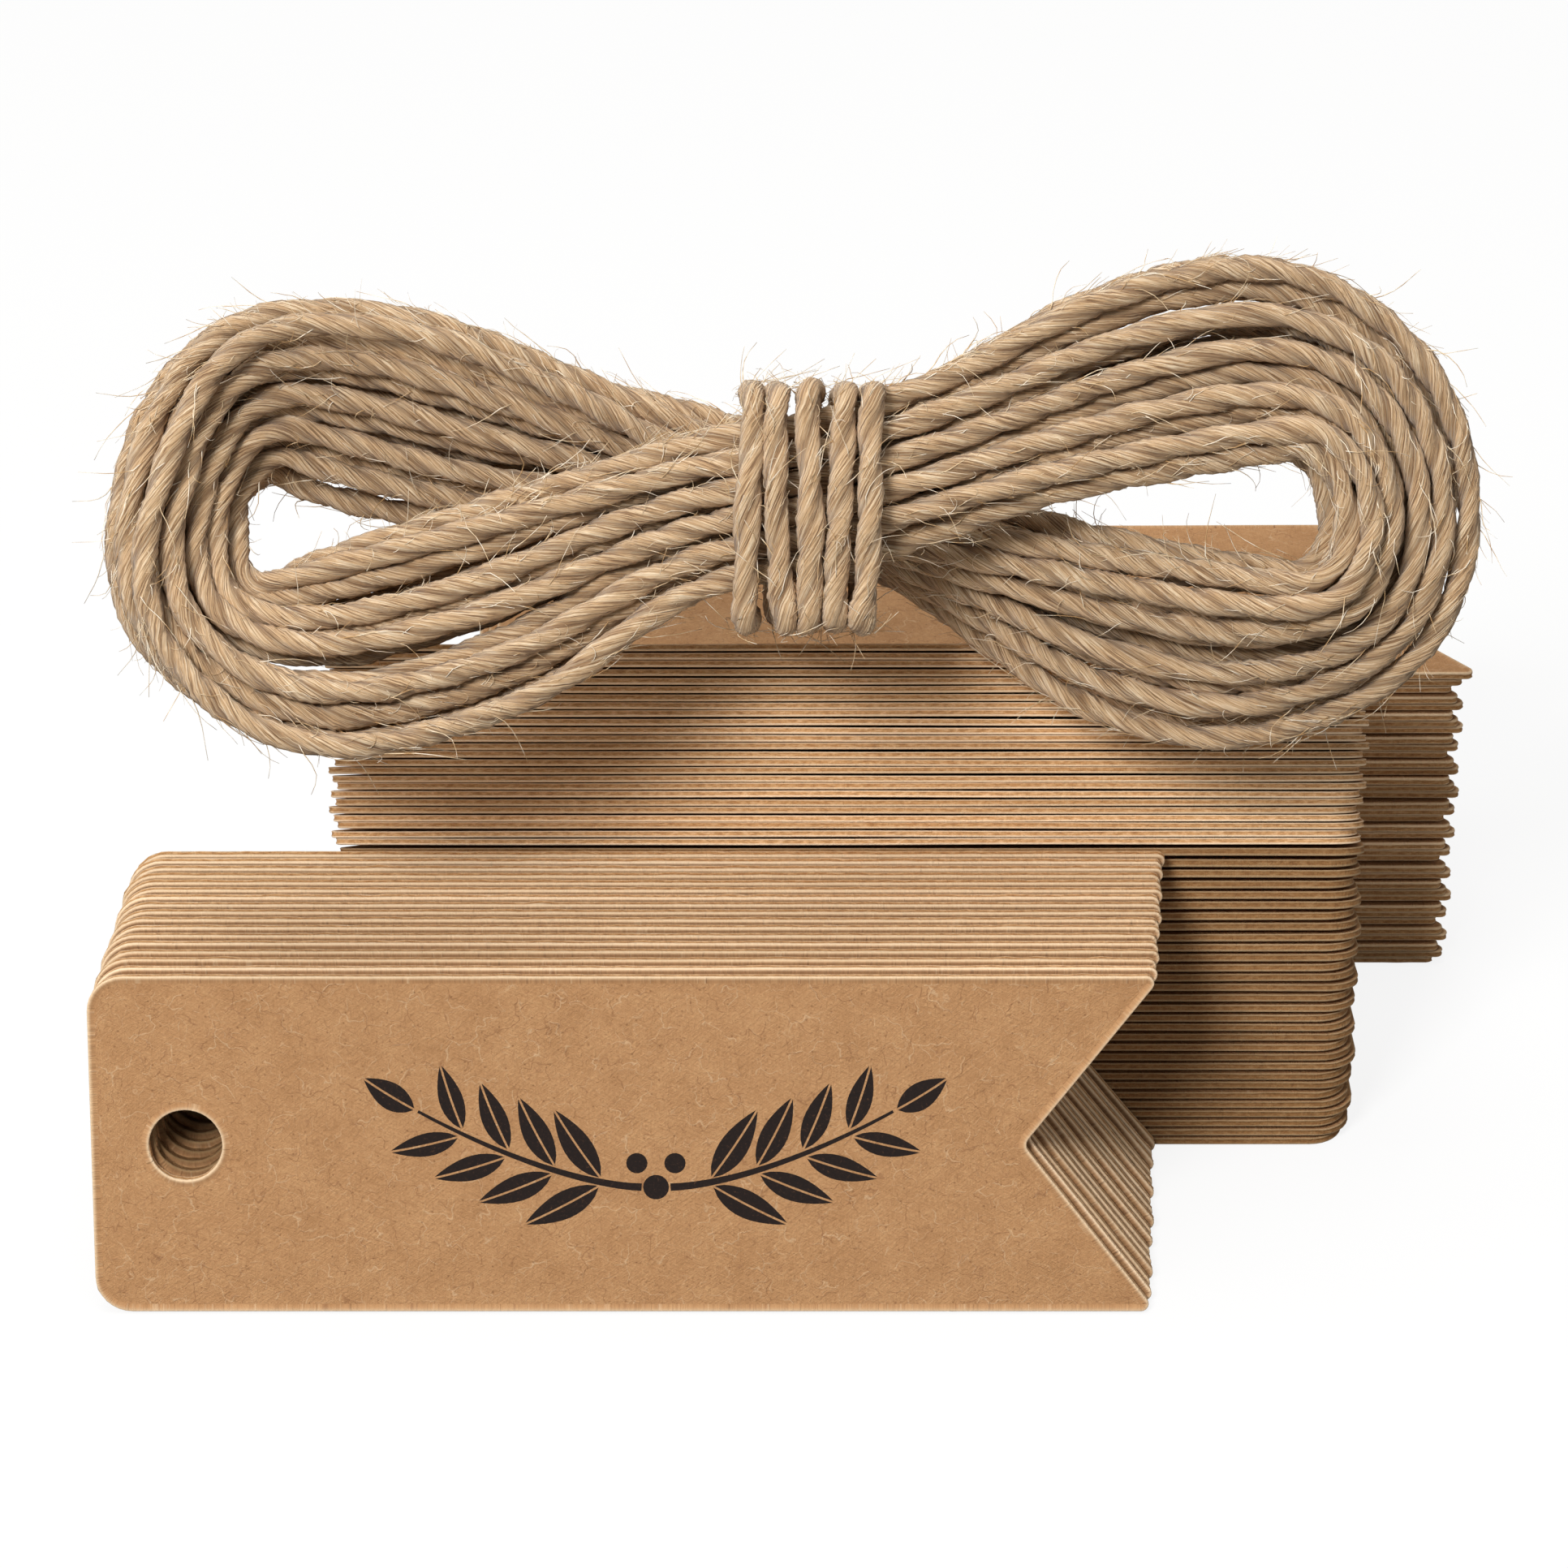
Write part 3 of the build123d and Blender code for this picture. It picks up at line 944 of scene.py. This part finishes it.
def fibre_shape(name, collection, seed, length, thick, lift, curl):
    """One curling fibre from the origin along X, lifting off in Z, from sizes in millimetres."""
    draw = random.Random(seed)
    upright = Vector((0, 0, 1))
    place = Vector((0, 0, -fibre_root_depth))
    direction = Vector((1, draw.uniform(-fibre_start_spread, fibre_start_spread), lift)).normalized()
    vertices = []
    faces = []
    for joint in range(fibre_joints):
        share = joint / (fibre_joints - 1)
        across = direction.cross(upright).normalized()
        above = direction.cross(across)
        for corner in range(fibre_corners):
            angle = 2 * math.pi * corner / fibre_corners
            spoke = across * math.cos(angle) + above * math.sin(angle)
            vertices.append((place + spoke * thick * (1 - fibre_taper_share * share)) * MM)
        place = place + direction * (length / (fibre_joints - 1))
        sideways = direction.cross(upright) * curl
        drift = [draw.gauss(0, spread) for spread in fibre_scatter]
        scatter = Vector((drift[0], drift[1], drift[2] - fibre_droop_share * lift))
        direction = (direction + sideways + scatter).normalized()
    for joint in range(fibre_joints - 1):
        here = joint * fibre_corners
        there = here + fibre_corners
        for corner in range(fibre_corners):
            after = (corner + 1) % fibre_corners
            faces.append((here + corner, here + after, there + after, there + corner))
    last = (fibre_joints - 1) * fibre_corners
    faces.append(tuple(reversed(range(fibre_corners))))
    faces.append(tuple(range(last, last + fibre_corners)))
    mesh = bpy.data.meshes.new(name)
    mesh.from_pydata(vertices, [], faces)
    collection.objects.link(bpy.data.objects.new(name, mesh))


def fibre_tree():
    """Geometry nodes that strew fibres over twine: denser where it lies outside, turned along its heading."""
    tree = bpy.data.node_groups.new("stray_fibres", "GeometryNodeTree")
    for name, kind in (
        ("Geometry", "NodeSocketGeometry"),
        ("Density", "NodeSocketFloat"),
        ("Seed", "NodeSocketInt"),
        ("Least Size", "NodeSocketFloat"),
        ("Greatest Size", "NodeSocketFloat"),
        ("Fibres", "NodeSocketCollection"),
        ("Material", "NodeSocketMaterial"),
    ):
        tree.interface.new_socket(name=name, in_out="INPUT", socket_type=kind)
    tree.interface.new_socket(name="Geometry", in_out="OUTPUT", socket_type="NodeSocketGeometry")
    given = add(tree, "NodeGroupInput").outputs
    outer = add(
        tree,
        "GeometryNodeInputNamedAttribute",
        {"Name": "outer"},
        data_type="FLOAT",
    ).outputs["Attribute"]
    density = add(tree, "ShaderNodeMath", {0: outer, 1: given["Density"]}, operation="MULTIPLY").outputs[0]
    points = add(
        tree,
        "GeometryNodeDistributePointsOnFaces",
        {"Mesh": given["Geometry"], "Density": density, "Seed": given["Seed"]},
    ).outputs
    heading = add(
        tree,
        "GeometryNodeInputNamedAttribute",
        {"Name": "heading"},
        data_type="FLOAT_VECTOR",
    ).outputs["Attribute"]
    along = add(
        tree,
        "FunctionNodeAlignRotationToVector",
        {"Rotation": points["Rotation"], "Vector": heading},
        axis="X",
        pivot_axis="Z",
    ).outputs["Rotation"]
    swing = add(
        tree,
        "FunctionNodeRandomValue",
        {0: fibre_swing[0], 1: fibre_swing[1], "Seed": given["Seed"]},
        data_type="FLOAT_VECTOR",
    ).outputs["Value"]
    turned = add(
        tree,
        "FunctionNodeRotateRotation",
        {"Rotation": along, "Rotate By": swing},
        rotation_space="LOCAL",
    ).outputs["Rotation"]
    size = add(
        tree,
        "FunctionNodeRandomValue",
        {2: given["Least Size"], 3: given["Greatest Size"], "Seed": given["Seed"]},
        data_type="FLOAT",
    ).outputs[1]
    shapes = add(
        tree,
        "GeometryNodeCollectionInfo",
        {"Collection": given["Fibres"], "Separate Children": True, "Reset Children": True},
    ).outputs["Instances"]
    strewn = add(
        tree,
        "GeometryNodeInstanceOnPoints",
        {
            "Points": points["Points"],
            "Instance": shapes,
            "Pick Instance": True,
            "Rotation": turned,
            "Scale": size,
        },
    ).outputs["Instances"]
    real = add(tree, "GeometryNodeRealizeInstances", {"Geometry": strewn}).outputs["Geometry"]
    coloured = add(tree, "GeometryNodeSetMaterial", {"Geometry": real, "Material": given["Material"]})
    add(tree, "NodeGroupOutput", {"Geometry": coloured.outputs["Geometry"]})
    return tree


def stray_fibres(name, twine, tree, fibres, material, density, seed):
    """Loose curling fibres strewn over a piece of twine, as a plain mesh of their own."""
    modifier = twine.modifiers.new("stray_fibres", "NODES")
    modifier.node_group = tree
    values = {
        "Density": density,
        "Seed": seed,
        "Least Size": fibre_sizes[0],
        "Greatest Size": fibre_sizes[1],
        "Fibres": fibres,
        "Material": material,
    }
    for item in tree.interface.items_tree:
        if item.in_out == "INPUT" and item.name in values:
            modifier[item.identifier] = values[item.name]
    bpy.context.view_layer.update()
    evaluated = twine.evaluated_get(bpy.context.evaluated_depsgraph_get())
    mesh = bpy.data.meshes.new_from_object(evaluated)
    twine.modifiers.remove(modifier)
    mesh.name = name
    for label in ("groove", "outer", "heading"):
        if label in mesh.attributes:
            mesh.attributes.remove(mesh.attributes[label])
    mesh.polygons.foreach_set("use_smooth", [True] * len(mesh.polygons))
    piece = bpy.data.objects.new(name, mesh)
    bpy.context.collection.objects.link(piece)
    return piece


def add_hank():
    """The hank, the tie round its waist and the stray fibres of both."""
    noise.seed_set(hank_wander_seed)
    low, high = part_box("twine_tie")
    tilt = math.radians(hank_tilt_degrees)
    across = Vector((1, 0, 0))
    up = Vector((0, math.sin(tilt), math.cos(tilt)))
    forward = Vector((0, -math.cos(tilt), math.sin(tilt)))
    waist = (low + high) / 2 - forward * tie_middle * MM

    def placed(point):
        return waist + (across * point.x + up * point.y + forward * point.z) * MM

    loops = hank_rows * hank_layers
    places = [step / points_per_turn for step in range(loops * points_per_turn + 1)]
    points = [hank_point(place) for place in places]
    points.insert(0, points[0] - (points[1] - points[0]).normalized() * twine_diameter)
    points.append(points[-1] + (points[-1] - points[-2]).normalized() * twine_diameter)
    path = smooth_route("hank_route", [placed(point) for point in points])
    # Stray fibres stand on the strands that lie outside in the bundle, and on their outer sides
    middles = [placed(hank_station(place)[0]) for place in np.linspace(0, loops, len(path))]
    outward = (path - np.array(middles)) / MM
    far = np.linalg.norm(outward, axis=1)
    outward = np.where((far > bundle_core)[:, None], outward / np.maximum(far, bundle_core)[:, None], 0)
    twine = jute_twine()
    loose = stray_jute()
    fibres = bpy.data.collections.new("fibre_shapes")
    for number in range(fibre_shapes):
        length, thick, lift, curl = fibre_kinds[number % len(fibre_kinds)]
        bend = curl if number % 2 else -curl
        fibre_shape("fibre_%d" % number, fibres, fibre_shape_seed + number, length, thick, lift, bend)
    tree = fibre_tree()
    hank = twine_piece("hank_of_twine", path, outward, twine, hank_twine_seed)
    fuzz = stray_fibres("hank_stray_fibres", hank, tree, fibres, loose, fibre_density, hank_fibre_seed)
    fine_steps = np.linspace(0, loops, loops * tie_fit_steps + 1)
    size = tie_size([hank_point(float(place)) for place in fine_steps])
    tie_path = smooth_route("tie_route", [placed(point) for point in tie_points(*size)])
    tie_out = (tie_path - np.array(waist)) / MM * np.array((0.0, 1.0, 1.0))
    tie_out /= np.linalg.norm(tie_out, axis=1)[:, None]
    tie = twine_piece("tie_of_twine", tie_path, tie_out, twine, tie_twine_seed)
    tie_density = fibre_density * tie_fibre_share
    tie_fuzz = stray_fibres("tie_stray_fibres", tie, tree, fibres, loose, tie_density, tie_fibre_seed)
    for shape in list(fibres.objects):
        bpy.data.objects.remove(shape)
    bpy.data.collections.remove(fibres)
    for piece in (hank, fuzz, tie, tie_fuzz):
        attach(piece, "hank")
    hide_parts("twine_hank")
    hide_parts("twine_tie")


def arc(centre, radius, start_degrees, end_degrees, pieces):
    """Points of an arc in the card's plane."""
    points = []
    for step in range(pieces + 1):
        angle = math.radians(start_degrees + (end_degrees - start_degrees) * step / pieces)
        points.append(Vector((centre[0] + radius * math.cos(angle), centre[1] + radius * math.sin(angle))))
    return points


def card_outline():
    """Outline of a swallowtail tag, anticlockwise from the hole end's front corner, in millimetres."""
    half = tag_width / 2
    slope = math.degrees(math.atan2(half, tag_notch_depth))
    tip_turn = 180 - slope
    reach = tag_tip_radius / math.tan(math.radians(slope / 2))
    tip_x = tag_length - reach
    notch_x = tag_length - tag_notch_depth + tag_notch_radius / math.sin(math.radians(slope))
    r = tag_corner_radius
    lower = [Vector((r + (tip_x - r) * step / long_edge_pieces, 0)) for step in range(1, long_edge_pieces)]
    upper = [Vector((point.x, tag_width)) for point in reversed(lower)]
    lower_tip = arc((tip_x, tag_tip_radius), tag_tip_radius, -90, tip_turn - 90, tip_pieces)
    notch = arc((notch_x, half), tag_notch_radius, 270 - slope, 90 + slope, tip_pieces)
    upper_tip = arc((tip_x, tag_width - tag_tip_radius), tag_tip_radius, 90 - tip_turn, 90, tip_pieces)
    shares = [step / notch_edge_pieces for step in range(1, notch_edge_pieces)]
    lower_slope = [lower_tip[-1].lerp(notch[0], share) for share in shares]
    upper_slope = [notch[-1].lerp(upper_tip[0], share) for share in shares]
    lower_corner = arc((r, r), r, 180, 270, corner_pieces)
    upper_corner = arc((r, tag_width - r), r, 90, 180, corner_pieces)
    tail = lower_tip + lower_slope + notch + upper_slope + upper_tip
    return lower_corner + lower + tail + upper + upper_corner


def outline_normals(points):
    """Unit outward normals of an anticlockwise outline."""
    normals = []
    for index, point in enumerate(points):
        along = points[(index + 1) % len(points)] - points[index - 1]
        normals.append(Vector((along.y, -along.x)).normalized())
    return normals


def inside(point, outline):
    """Whether a point lies inside an outline."""
    hit = False
    for a, b in zip(outline, outline[1:] + outline[:1]):
        if (a.y > point.y) != (b.y > point.y):
            if point.x < a.x + (b.x - a.x) * (point.y - a.y) / (b.y - a.y):
                hit = not hit
    return hit


def card_plan():
    """Outline, hole, their outward normals, and the triangles of a card's face between them."""
    outline = card_outline()
    hole_centre = Vector((tag_hole_inset, tag_width / 2))
    spokes = [Vector((math.cos(a), -math.sin(a))) for a in np.arange(hole_pieces) * 2 * math.pi / hole_pieces]
    hole = [hole_centre + spoke * tag_hole_radius for spoke in spokes]
    normals = outline_normals(outline) + [-spoke for spoke in spokes]
    border = [p - n * cut_section[0][0] for p, n in zip(outline + hole, normals)]
    count = len(outline)
    edges = [(i, (i + 1) % count) for i in range(count)]
    edges += [(count + i, count + (i + 1) % hole_pieces) for i in range(hole_pieces)]
    cells = geometry.delaunay_2d_cdt(border, edges, [], 0, plan_tolerance)
    names = [origin[0] for origin in cells[3]]
    triangles = []
    for cell in cells[2]:
        centre = sum((cells[0][i] for i in cell), Vector((0, 0))) / len(cell)
        if inside(centre, border[:count]) and (centre - hole_centre).length > tag_hole_radius:
            triangles.append([names[i] for i in cell])
    return outline + hole, normals, count, triangles


def cad_tags(name):
    """Where each tag of a CAD node lies: its hole end's lower corner and the directions of its sides."""
    shape = bmesh.new()
    shape.from_mesh(frame["nodes"][name].data)
    bmesh.ops.remove_doubles(shape, verts=shape.verts, dist=merge_distance)
    left = set(shape.faces)
    found = []
    while left:
        seed = left.pop()
        group = [seed]
        todo = [seed]
        while todo:
            for edge in todo.pop().edges:
                for face in edge.link_faces:
                    if face in left:
                        left.remove(face)
                        group.append(face)
                        todo.append(face)
        broadest = max(group, key=lambda face: face.calc_area())
        normal = broadest.normal.copy()
        if normal.z - normal.y < 0:
            normal = -normal
        normal = Vector((0, normal.y, normal.z)).normalized()
        along = Vector((1, 0, 0))
        if name.startswith("middle"):
            along = -along
            normal = -normal
        across = normal.cross(along)
        corners = [vertex.co for face in group for vertex in face.verts]
        origin = sum((d * min(c.dot(d) for c in corners) for d in (along, across, normal)), Vector())
        found.append((origin, along, across, normal))
    shape.free()
    return sorted(found, key=lambda tag: tag[0].z)


def card_bow(stack, draw):
    """How far a card of that stack bows off its plane at each place, in millimetres."""
    size = bow_sizes[stack]
    phases = [draw.uniform(0, 2 * math.pi) for wave in bow_waves]
    sizes = [draw.uniform(*bow_wave_spread) * size for wave in bow_waves]
    lift = draw.uniform(*bow_lift_spread) * size

    def bow_at(x, y):
        share = y / tag_width
        weight = 1 - share
        if stack != "middle":
            weight = bow_middle_share + (1 - bow_middle_share) * abs(2 * share - 1)
        bow = 0
        for (half_waves, wave_share), wave_size, phase in zip(bow_waves, sizes, phases):
            bow += wave_share * wave_size * math.sin(half_waves * math.pi * x / tag_length + phase)
        return (bow + lift) * weight * bow_used_share

    return bow_at


def edge_runs(outline):
    """Distance along an outline at each of its points, in millimetres."""
    runs = [0]
    for before, point in zip(outline, outline[1:]):
        runs.append(runs[-1] + (point - before).length)
    return runs


def tag_piece(name, body, plan, material):
    """The cards of one CAD node, with die-cut edges, in the places of its solids."""
    outline, normals, count, triangles = plan
    total = len(outline)
    stack = name.split("_")[0]
    place = stack if stack != "middle" else "_".join(name.split("_")[:2])
    printed = name == "front_tag_01"
    swell = edge_thickness[place] - tag_thickness
    runs = edge_runs(outline)
    draw = random.Random(name)
    vertices = []
    faces = []
    uvs = []
    cuts = []
    tones = []
    shades = []
    for origin, along, across, normal in cad_tags(name):
        first = len(vertices)
        bow_at = card_bow(stack, draw)
        shift = (draw.uniform(0, card_pattern_span), draw.uniform(0, card_pattern_span))
        tone = draw.uniform(*tone_spread)
        # The stack's painted light and shade on the cut, times a random tone of the card's own
        shade = painted_cut_light_and_shade[place] * draw.uniform(*shade_spread)
        rough = [draw.gauss(0, cut_roughness) for point in outline]
        for inset, height, swollen, cut in cut_section:
            thickness = tag_thickness + swell * swollen
            for index, (point, out) in enumerate(zip(outline, normals)):
                spot = point + out * (rough[index] * (cut > 0.5) - inset)
                rise = tag_thickness / 2 + (height - 0.5) * thickness
                rise += 0 if printed else bow_at(spot.x, spot.y)
                vertices.append(origin + (along * spot.x + across * spot.y + normal * rise) * MM)
                cuts.append(cut)
                tones.append(tone)
                # Painted shade on the lower middle tags' cuts: darkest at the front, fading out towards their
                # rear
                spot_tone_and_painted_shade = shade
                if place == "middle_lower":
                    spot_tone_and_painted_shade += (1 - shade) * eased(point.y / tag_width)
                # Painted shade inside the hole of every card but the printed one
                if index >= count and not printed:
                    spot_tone_and_painted_shade *= painted_hole_shade
                shades.append(spot_tone_and_painted_shade)
        for ring in range(len(cut_section) - 1):
            here = first + ring * total
            there = here + total
            top = cut_section[ring][1] * tag_thickness + shift[1]
            low = cut_section[ring + 1][1] * tag_thickness + shift[1]
            for start, size in ((0, count), (count, total - count)):
                for step in range(size):
                    a = start + step
                    b = start + (step + 1) % size
                    faces.append((here + b, here + a, there + a, there + b))
                    run = runs[a] + shift[0]
                    next_run = runs[a] + (outline[b] - outline[a]).length + shift[0]
                    uvs += [(next_run, top), (run, top), (run, low), (next_run, low)]
        last = first + (len(cut_section) - 1) * total
        for a, b, c in triangles:
            faces.append((first + a, first + b, first + c))
            faces.append((last + c, last + b, last + a))
            spots = [(outline[i].x + shift[0], outline[i].y + shift[1]) for i in (a, b, c)]
            uvs += spots + [(x + back_pattern_shift, y) for x, y in reversed(spots)]
    mesh = bpy.data.meshes.new("card_" + name)
    mesh.from_pydata(vertices, [], faces)
    mesh.uv_layers.new(name="card").data.foreach_set("uv", np.array(uvs, dtype=np.float32).ravel())
    for label, values in (("cut", cuts), ("tone", tones), ("shade", shades)):
        mesh.attributes.new(label, "FLOAT", "POINT").data.foreach_set("value", values)
    mesh.polygons.foreach_set("use_smooth", [len(face) == 4 for face in faces])
    mesh.materials.append(material)
    piece = bpy.data.objects.new("card_" + name, mesh)
    bpy.context.collection.objects.link(piece)
    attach(piece, body)
    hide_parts(name)


def leaf_halves(base, direction, length, width):
    """Two halves of a leaf in the card's plane, with its vein left open between them."""
    across = Vector((-direction.y, direction.x))
    halves = []
    for side in (1, -1):
        rim = []
        middle = []
        for step in range(leaf_steps + 1):
            share = step / leaf_steps
            half = 0
            if 0 < share < 1:
                half = width / 2 * math.sin(math.pi * share**leaf_base_power) ** leaf_round_power
            bend = across * leaf_curl_share * length * share * share
            spine = base + direction * length * share + bend
            rim.append(spine + across * side * (half + leaf_vein))
            middle.append(spine + across * side * leaf_vein)
        ring = middle + list(reversed(rim[1:-1]))
        halves.append(ring if side < 0 else list(reversed(ring)))
    return halves


def sprig_shapes():
    """Outlines of a plain spray of leaves and berries, mirrored about its middle, in millimetres."""
    spine = []
    for step in range(stem_steps + 1):
        share = step / stem_steps
        spine.append(Vector((stem_start + stem_reach * share, stem_rise * share**stem_rise_power - stem_low)))
    stem = []
    for index, point in enumerate(spine):
        along = (spine[min(index + 1, stem_steps)] - spine[max(index - 1, 0)]).normalized()
        half = stem_half_width - stem_taper * index / stem_steps
        stem.append((point, Vector((-along.y, along.x)), half, along))
    shapes = [[p - n * h for p, n, h, a in stem] + [p + n * h for p, n, h, a in reversed(stem)]]
    for number, index in enumerate(range(first_leaf_step, stem_steps, steps_between_leaves)):
        point, normal, half, along = stem[index]
        length = leaf_length - leaf_length_less * number
        width = leaf_width - leaf_width_less * number
        for side in (1, -1):
            direction = (along * leaf_forward_share + normal * side * leaf_sideways_share).normalized()
            shapes += leaf_halves(point + direction * leaf_stalk, direction, length, width)
    point, normal, half, along = stem[-1]
    shapes += leaf_halves(point + along * end_leaf_stalk, along, end_leaf_length, end_leaf_width)
    mirrored = [[Vector((-p.x, p.y)) for p in reversed(shape)] for shape in shapes]
    for spot, radius in berries:
        shapes.append(arc(spot, radius, 0, 360 - 360 / berry_corners, berry_corners - 1))
    return shapes + mirrored


def add_ornament():
    """The printed spray on the front tag's face, a film of ink over the card."""
    origin, along, across, normal = cad_tags("front_tag_01")[0]
    middle = Vector(ornament_middle)
    shape = bmesh.new()
    for outline in sprig_shapes():
        rings = []
        for height in (tag_thickness + ink_film, tag_thickness - ink_root):
            ring = []
            for point in outline:
                spot = middle + point
                place = origin + (along * spot.x + across * spot.y + normal * height) * MM
                ring.append(shape.verts.new(place))
            rings.append(ring)
        top, low = rings
        shape.faces.new(top)
        shape.faces.new(list(reversed(low)))
        for index in range(len(top)):
            after = (index + 1) % len(top)
            shape.faces.new((top[after], top[index], low[index], low[after]))
    bmesh.ops.triangulate(shape, faces=[face for face in shape.faces if len(face.verts) > 4])
    mesh = bpy.data.meshes.new("front_tag_ornament")
    shape.to_mesh(mesh)
    shape.free()
    mesh.materials.append(printing_ink())
    piece = bpy.data.objects.new("front_tag_ornament", mesh)
    bpy.context.collection.objects.link(piece)
    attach(piece, "front_tag")


def add_tags():
    """A piece for each CAD node of tags."""
    plan = card_plan()
    material = kraft_card()
    for body, names in frame["record"]["behaviour"]["bodies"].items():
        for name in names:
            if not name.startswith("twine"):
                tag_piece(name, body, plan, material)


def add_floor():
    """A white table that keeps the pack's soft shadow, and looks white to the camera."""
    mesh = bpy.data.meshes.new("table")
    signs = [(-1, -1), (1, -1), (1, 1), (-1, 1)]
    corners = [(x * table_half_size, y * table_half_size, -table_drop) for x, y in signs]
    mesh.from_pydata(corners, [], [(0, 1, 2, 3)])
    material, tree = new_material("white_table")
    path = add(tree, "ShaderNodeLightPath")
    seen = add(
        tree,
        "ShaderNodeMath",
        {0: path.outputs["Is Camera Ray"], 1: path.outputs["Is Glossy Ray"]},
        operation="MAXIMUM",
    ).outputs[0]
    seen = add(
        tree,
        "ShaderNodeMath",
        {0: seen, 1: path.outputs["Is Transmission Ray"]},
        operation="MAXIMUM",
    ).outputs[0]
    white = add(tree, "ShaderNodeBsdfDiffuse", {"Color": linear("#f4f3f1")}).outputs["BSDF"]
    glow = add(tree, "ShaderNodeEmission", {"Color": linear("#ffffff"), "Strength": 1.0}).outputs["Emission"]
    pale = add(tree, "ShaderNodeMixShader", {0: table_white_share, 1: white, 2: glow}).outputs["Shader"]
    grey = add(tree, "ShaderNodeBsdfDiffuse", {"Color": linear("#949390")}).outputs["BSDF"]
    surface = add(tree, "ShaderNodeMixShader", {0: seen, 1: grey, 2: pale}).outputs["Shader"]
    add(tree, "ShaderNodeOutputMaterial", {"Surface": surface})
    mesh.materials.append(material)
    floor = bpy.data.objects.new("table", mesh)
    bpy.context.collection.objects.link(floor)


def add_lights():
    """Soft light from the upper front left and a little from above, in a white room."""
    world = bpy.data.worlds.new("white_room")
    world.use_nodes = True
    tree = world.node_tree
    tree.nodes.clear()
    path = add(tree, "ShaderNodeLightPath")
    room = add(tree, "ShaderNodeBackground", {"Color": linear("#ffffff"), "Strength": room_strength})
    seen = add(tree, "ShaderNodeBackground", {"Color": linear("#ffffff"), "Strength": 1.0})
    mixed = add(
        tree,
        "ShaderNodeMixShader",
        {0: path.outputs["Is Camera Ray"], 1: room.outputs[0], 2: seen.outputs[0]},
    )
    add(tree, "ShaderNodeOutputWorld", {"Surface": mixed.outputs["Shader"]})
    bpy.context.scene.world = world
    for name, place, size, watts in softboxes:
        data = bpy.data.lights.new(name, "AREA")
        data.shape = "SQUARE"
        data.size = size
        data.energy = watts
        lamp = bpy.data.objects.new(name, data)
        lamp.location = place
        aim = Vector(lamp_aim) - Vector(place)
        lamp.rotation_euler = aim.to_track_quat("-Z", "Y").to_euler()
        bpy.context.collection.objects.link(lamp)


add_camera()
add_hank()
add_tags()
add_ornament()
add_floor()
add_lights()
bpy.context.scene.view_settings.view_transform = "Standard"
